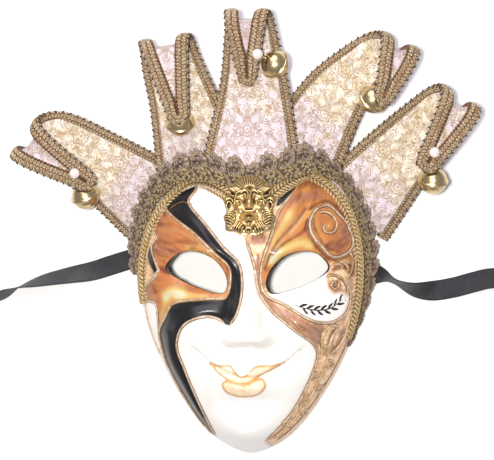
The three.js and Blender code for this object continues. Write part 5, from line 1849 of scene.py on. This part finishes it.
@dataclass(frozen=True)
class Brocade:
    """Cream damask: lobed rosettes, striped leaves and fine scrolls woven in tan, dot by dot.

    A leaf is its middle, half-widths and turn, in millimetres and degrees within half a repeat,
    which is mirrored and set half a repeat higher in every second column.
    """

    ground: Colour = rgb(212, 197, 164)
    gleam: Colour = rgb(236, 228, 212)
    figure: Colour = rgb(168, 126, 80)
    thread: Colour = rgb(126, 88, 50)
    shade_lilac: Colour = rgb(214, 202, 218)
    repeat: Pair = (23, 34)
    leaves: Swells = (
        (0, 11.2, 1.5, 3, 0), (3.4, 9.4, 1.2, 2.8, -38), (4.4, -9, 1.3, 2.9, -140), (0, -11.4, 1.3, 2.8, 0),
        (8.4, 4.4, 1.2, 2.9, -64), (8.6, -3.8, 1.2, 2.8, -118), (8, 12.6, 1.2, 2.6, 24), (8.2, -12.6, 1.2, 2.6, 150))

    def material(self) -> Material:
        """The figures by their distances, in dots of the weave."""
        s = Shader("brocade")
        cloth = s.attribute("cloth", "Vector")
        x, y, shade_share = s.components(cloth)
        wide, high = self.repeat
        drop = abs(((x / wide).nearest() * (math.pi / 2)).sine()) * (high / 2)
        sway = (s.noise(0.35, 2, 0.5, cloth) - 0.5) * 1.2
        half_x = abs(x.wrapped(wide / 2, -wide / 2)) + sway
        turned_y = (y + drop).wrapped(high / 2, -high / 2)
        plan = s.node("ShaderNodeCombineXYZ", {}, {0: half_x, 1: turned_y})
        away = s.length_of(plan)
        lobes = (turned_y.angle(half_x) * 6).sine()
        edge = away - 5.6 - 0.8 * lobes
        heart = away - 2.6 + 0.6 * lobes
        line = abs(edge).step(0.75, 0.3).higher(abs(heart).step(0.6, 0.25)).higher(away.step(0.95, 0.6))
        petals = lobes.step(-0.1, 0.5) * edge.step(-0.2, -0.7) * heart.step(0.2, 0.8) * 0.75
        leaves = [s.length_of(s.node("ShaderNodeMapping", {"vector_type": "TEXTURE"}, {
            "Vector": plan, "Location": (x0, y0, 0), "Rotation": (0, 0, math.radians(turn)),
            "Scale": (half_width, half_length, 1)})) for x0, y0, half_width, half_length, turn in self.leaves]
        leaf = functools.reduce(Value.lower, leaves)
        rim = abs(leaf - 0.9).step(0.3, 0.12)
        stripes = ((half_x + turned_y * 0.7) * 6.2).sine() * 0.5 + 0.5
        fronds = (s.noise(0.12, 1.4, 0.5, plan) * 62).sine().step(0.1, 0.55)
        clumps = s.noise(0.2, 2, 0.5, plan)
        wander = fronds * clumps.step(0.45, 0.5) * edge.step(0.4, 1.2)
        dots = ((x * (2 * math.pi / 0.85)).sine() * (y * (2 * math.pi / 0.8)).sine()) * 0.5 + 0.5
        worn = s.noise(0.5, at=cloth).step(0.25, 0.6)
        figure = line.higher(rim * 0.6).higher(petals).higher(leaf.step(1.0, 0.85) * stripes).higher(wander)
        shown = figure * (0.55 + 0.45 * dots) * (0.35 + 0.65 * worn)
        tone = s.mix(s.noise(0.11, at=cloth).step(0.4, 0.6), self.ground, self.gleam)
        # painted shade: lilac where the panel holds its shade share
        tone = s.mix((s.noise(0.09, at=cloth) + shade_share * 0.4).step(0.5, 0.95) * 0.75, tone, self.shade_lilac)
        tone = s.mix(shown, tone, s.mix(dots, self.thread, self.figure))
        tone = s.mix((1 - dots) * 0.12, tone, self.thread)
        s.set(Base_Color=tone, Roughness=0.62 - 0.2 * figure, Sheen_Weight=0.25, Sheen_Roughness=0.5)
        return s.bump(dots * 0.5 + figure * 0.5, 0.0004, 0.8).material


@dataclass(frozen=True)
class Yarn:
    """Twisted thread, plain or with a metal strip round it, uneven in tone along its length."""

    name: str
    tone: Colour
    shade: Colour
    metallic: float = 0.0
    roughness: float = 0.5

    def material(self) -> Material:
        """Fibres of two tones along a fine twist."""
        s = Shader(self.name)
        x, y, z = s.components(s.place())
        fibre = s.noise(1500)
        twist = ((x + y + z) * 5200 + fibre * 3).sine() * 0.5 + 0.5
        patches = s.noise(520, 2, 0.5)
        s.set(Base_Color=s.mix((fibre * 0.4 + twist * 0.2 + patches * 0.4).step(0.44, 0.56), self.tone, self.shade),
              Metallic=self.metallic * (0.6 + 0.4 * twist), Roughness=self.roughness + 0.2 * (fibre - 0.5),
              Sheen_Weight=0.08)
        return s.bump(twist * 0.6 + fibre * 0.4, 0.0003, 0.6).material


POINT_BRAID_YARNS = (Yarn("pale_gimp", seen(255, 246, 212), seen(184, 128, 72), 0.15, 0.4),
                     Yarn("brown_gimp", seen(188, 132, 74), seen(84, 54, 30), 0.1, 0.5),
                     Yarn("dark_gimp", seen(132, 92, 52), seen(64, 44, 26), 0.0, 0.8))
LACE_YARNS = (Yarn("pewter_lace", seen(224, 200, 184), seen(138, 114, 100), 0.2, 0.42),
              Yarn("gilt_lace", seen(250, 228, 172), seen(166, 136, 88), 0.25, 0.4),
              Yarn("bronze_lace", seen(136, 108, 80), seen(74, 58, 42), 0.15, 0.55))
GILT_YARNS = (Yarn("gilt_strand", seen(255, 248, 204), seen(236, 190, 116), 0.3, 0.36),
              Yarn("gilt_ground", seen(226, 178, 112), seen(138, 92, 48), 0.25, 0.45))


@dataclass(frozen=True)
class Brass:
    """Stamped brass with brown patina in its hollows."""

    name: str
    bright: Colour
    tone: Colour
    patina: Colour
    age: float
    roughness: float

    def material(self) -> Material:
        """Metal that is bright on its edges and brown in its hollows."""
        s = Shader(self.name)
        clouds = s.noise(140, 4)
        fine = s.noise(1100)
        hollow = s.attribute("hollow")
        dark = (hollow * 1.1 + (clouds - 0.5) * self.age).step(0.02, 0.6)
        tone = s.mix(hollow.step(-0.1, -0.6), s.mix(clouds, self.tone, self.bright), self.bright)
        s.set(Base_Color=s.mix(dark * self.age, tone, self.patina), Metallic=1.0 - 0.35 * dark,
              Roughness=self.roughness + 0.3 * dark + 0.12 * fine)
        return s.bump(fine * 0.5 + clouds * 0.5, 0.0002, 0.4).material


BELL_BRASS = Brass("bell_brass", rgb(232, 212, 166), rgb(206, 180, 130), rgb(112, 88, 60), 0.35, 0.2)
LION_BRASS = Brass("lion_brass", rgb(246, 226, 172), rgb(164, 124, 76), rgb(70, 46, 28), 1.0, 0.36)


@dataclass(frozen=True)
class Nacre:
    """The pearly lacquer of a plastic bead."""

    tone: Colour = rgb(242, 236, 226)
    tint: Colour = rgb(226, 206, 204)

    def material(self) -> Material:
        """A glossy coat over clouded lustre."""
        s = Shader("nacre")
        clouds = s.noise(420, 3, 0.5)
        s.set(Base_Color=s.mix(clouds.step(0.3, 0.7), self.tone, self.tint), Roughness=0.26 + 0.1 * clouds,
              Metallic=0.12, Coat_Weight=0.8, Coat_Roughness=0.08)
        return s.bump(clouds, 0.00015, 0.3).material


@dataclass(frozen=True)
class Satin:
    """Black satin: a smooth warp face with a faint rib and a woven edge."""

    tone: Colour = (0.011, 0.011, 0.014)
    sheen: Colour = (0.035, 0.036, 0.042)

    def material(self) -> Material:
        """Fine threads along the ribbon, and a selvedge."""
        s = Shader("black_satin")
        cloth = s.attribute("cloth", "Vector")
        x, y, _ = s.components(cloth)
        warp = (x * (2 * math.pi / 0.28)).sine() * 0.5 + 0.5
        weft = (y * (2 * math.pi / 0.7)).sine() * 0.5 + 0.5
        edge = abs(x).step(6.4, 6.9)
        clouds = s.noise(0.12, at=cloth)
        s.set(Base_Color=s.mix((clouds * 0.6 + warp * 0.4).step(0.3, 0.8), self.tone, self.sheen),
              Roughness=0.4 + 0.2 * edge + 0.12 * clouds, Sheen_Weight=0.1, Sheen_Roughness=0.4)
        return s.bump(warp * (1 - edge) * 0.6 + weft * (0.3 + 0.7 * edge) * 0.6, 0.0002, 0.6).material


# The studio


@dataclass
class Studio:
    """A pale floor, soft lights and the camera above the mask."""

    seat: Seat
    target: Pair = (-3.2, 29.6)
    height: float = 620
    tilt: float = 3.4
    lens: float = 59.8
    # place in mm, size in m, power in W and colour: a flash beside the lens and a window
    lights: Sequence[tuple[tuple[float, float, float], float, float, Colour]] = (
        ((0, 32, 620), 0.04, 3.9, (1, 0.98, 0.93)), ((-150, 740, 800), 0.9, 5.6, (0.95, 0.91, 1)))
    sky: Colour = (0.93, 0.91, 1)
    sky_strength: float = 0.32

    def build(self) -> None:
        """Lays the floor, hangs the lights and sets the camera."""
        floor = show(grid_mesh(1, 1, 3), "pale_floor", [self.floor_paint()])
        scene = bpy.context.scene
        world = bpy.data.worlds.new("studio")
        world.use_nodes = True
        sockets = world.node_tree.nodes["Background"].inputs
        sockets["Color"].default_value, sockets["Strength"].default_value = (*self.sky, 1), self.sky_strength
        scene.world = world
        scene.view_settings.view_transform = "Standard"
        middle = Vector((*self.target, 0))
        for place, size, power, colour in self.lights:
            light = bpy.data.lights.new("softbox", "AREA")
            light.shape, light.size, light.energy, light.color = "DISK", size, power, colour
            self.aim(light, Vector(place), middle)
        camera = bpy.data.cameras.new("camera")
        camera.lens, camera.sensor_width, camera.clip_start = self.lens, 36, 0.01
        tilt = math.radians(self.tilt)
        eye = middle + self.height * Vector((math.sin(tilt), 0, math.cos(tilt)))
        scene.camera = self.aim(camera, eye, middle)

    def aim(self, data: bpy.types.ID, place: Vector, target: Vector) -> bpy.types.Object:
        """Puts a light or camera in the scene, with +Y up.

        Args:
            data: the light or camera.
            place: where it stands.
            target: what it points at.

        Returns:
            Its object.
        """
        back = (place - target).normalized()
        right = Vector((0, 1, 0)).cross(back).normalized()
        thing = linked(data.name, data)
        turned = Matrix((right, back.cross(right), back)).transposed()
        thing.matrix_world = Matrix.Translation(self.seat.to_frame(np.array(place))) @ turned.to_4x4()
        return thing

    def floor_paint(self) -> Material:
        """Matt white with a faint tooth."""
        s = Shader("floor_paint")
        tooth = s.noise(160)
        s.set(Base_Color=s.mix(tooth, rgb(247, 247, 247), rgb(240, 240, 240)), Roughness=0.8)
        return s.bump(tooth, 0.0002, 0.2).material


def main() -> None:
    """Builds the mask piece by piece in the frame."""
    logging.basicConfig(level=logging.INFO, format="%(message)s")
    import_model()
    low, high = (np.array(corner) * 1000 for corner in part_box("ribbon_coil_left"))
    middle = (low + high) / 2 - (*TIES["ribbon_left"]["coil"], 0)
    seat = Seat((middle[0], middle[1]))
    Studio(seat).build()
    satin = Satin().material()
    for name, shape in TIES.items():
        Ribbon(seat, name, satin, **shape).build()
    face = Face(seat)
    face.build()
    brocade = Brocade().material()
    gimp = [yarn.material() for yarn in POINT_BRAID_YARNS]
    brass, nacre = BELL_BRASS.material(), Nacre().material()
    for point in CROWN:
        Panel(seat, face.form, point, brocade).build()
        PointBraid(seat, face.form, point, gimp).build()
        Bell(seat, point, brass, gimp[0]).build()
        if point.pearl:
            Pearl(seat, point, nacre).build()
    Lace(seat, face.form, [yarn.material() for yarn in LACE_YARNS]).build()
    GoldBraid(seat, face.form, [yarn.material() for yarn in GILT_YARNS]).build()
    LionMedallion(seat, face.form, LION_BRASS.material()).build()


if __name__ == "__main__":
    main()
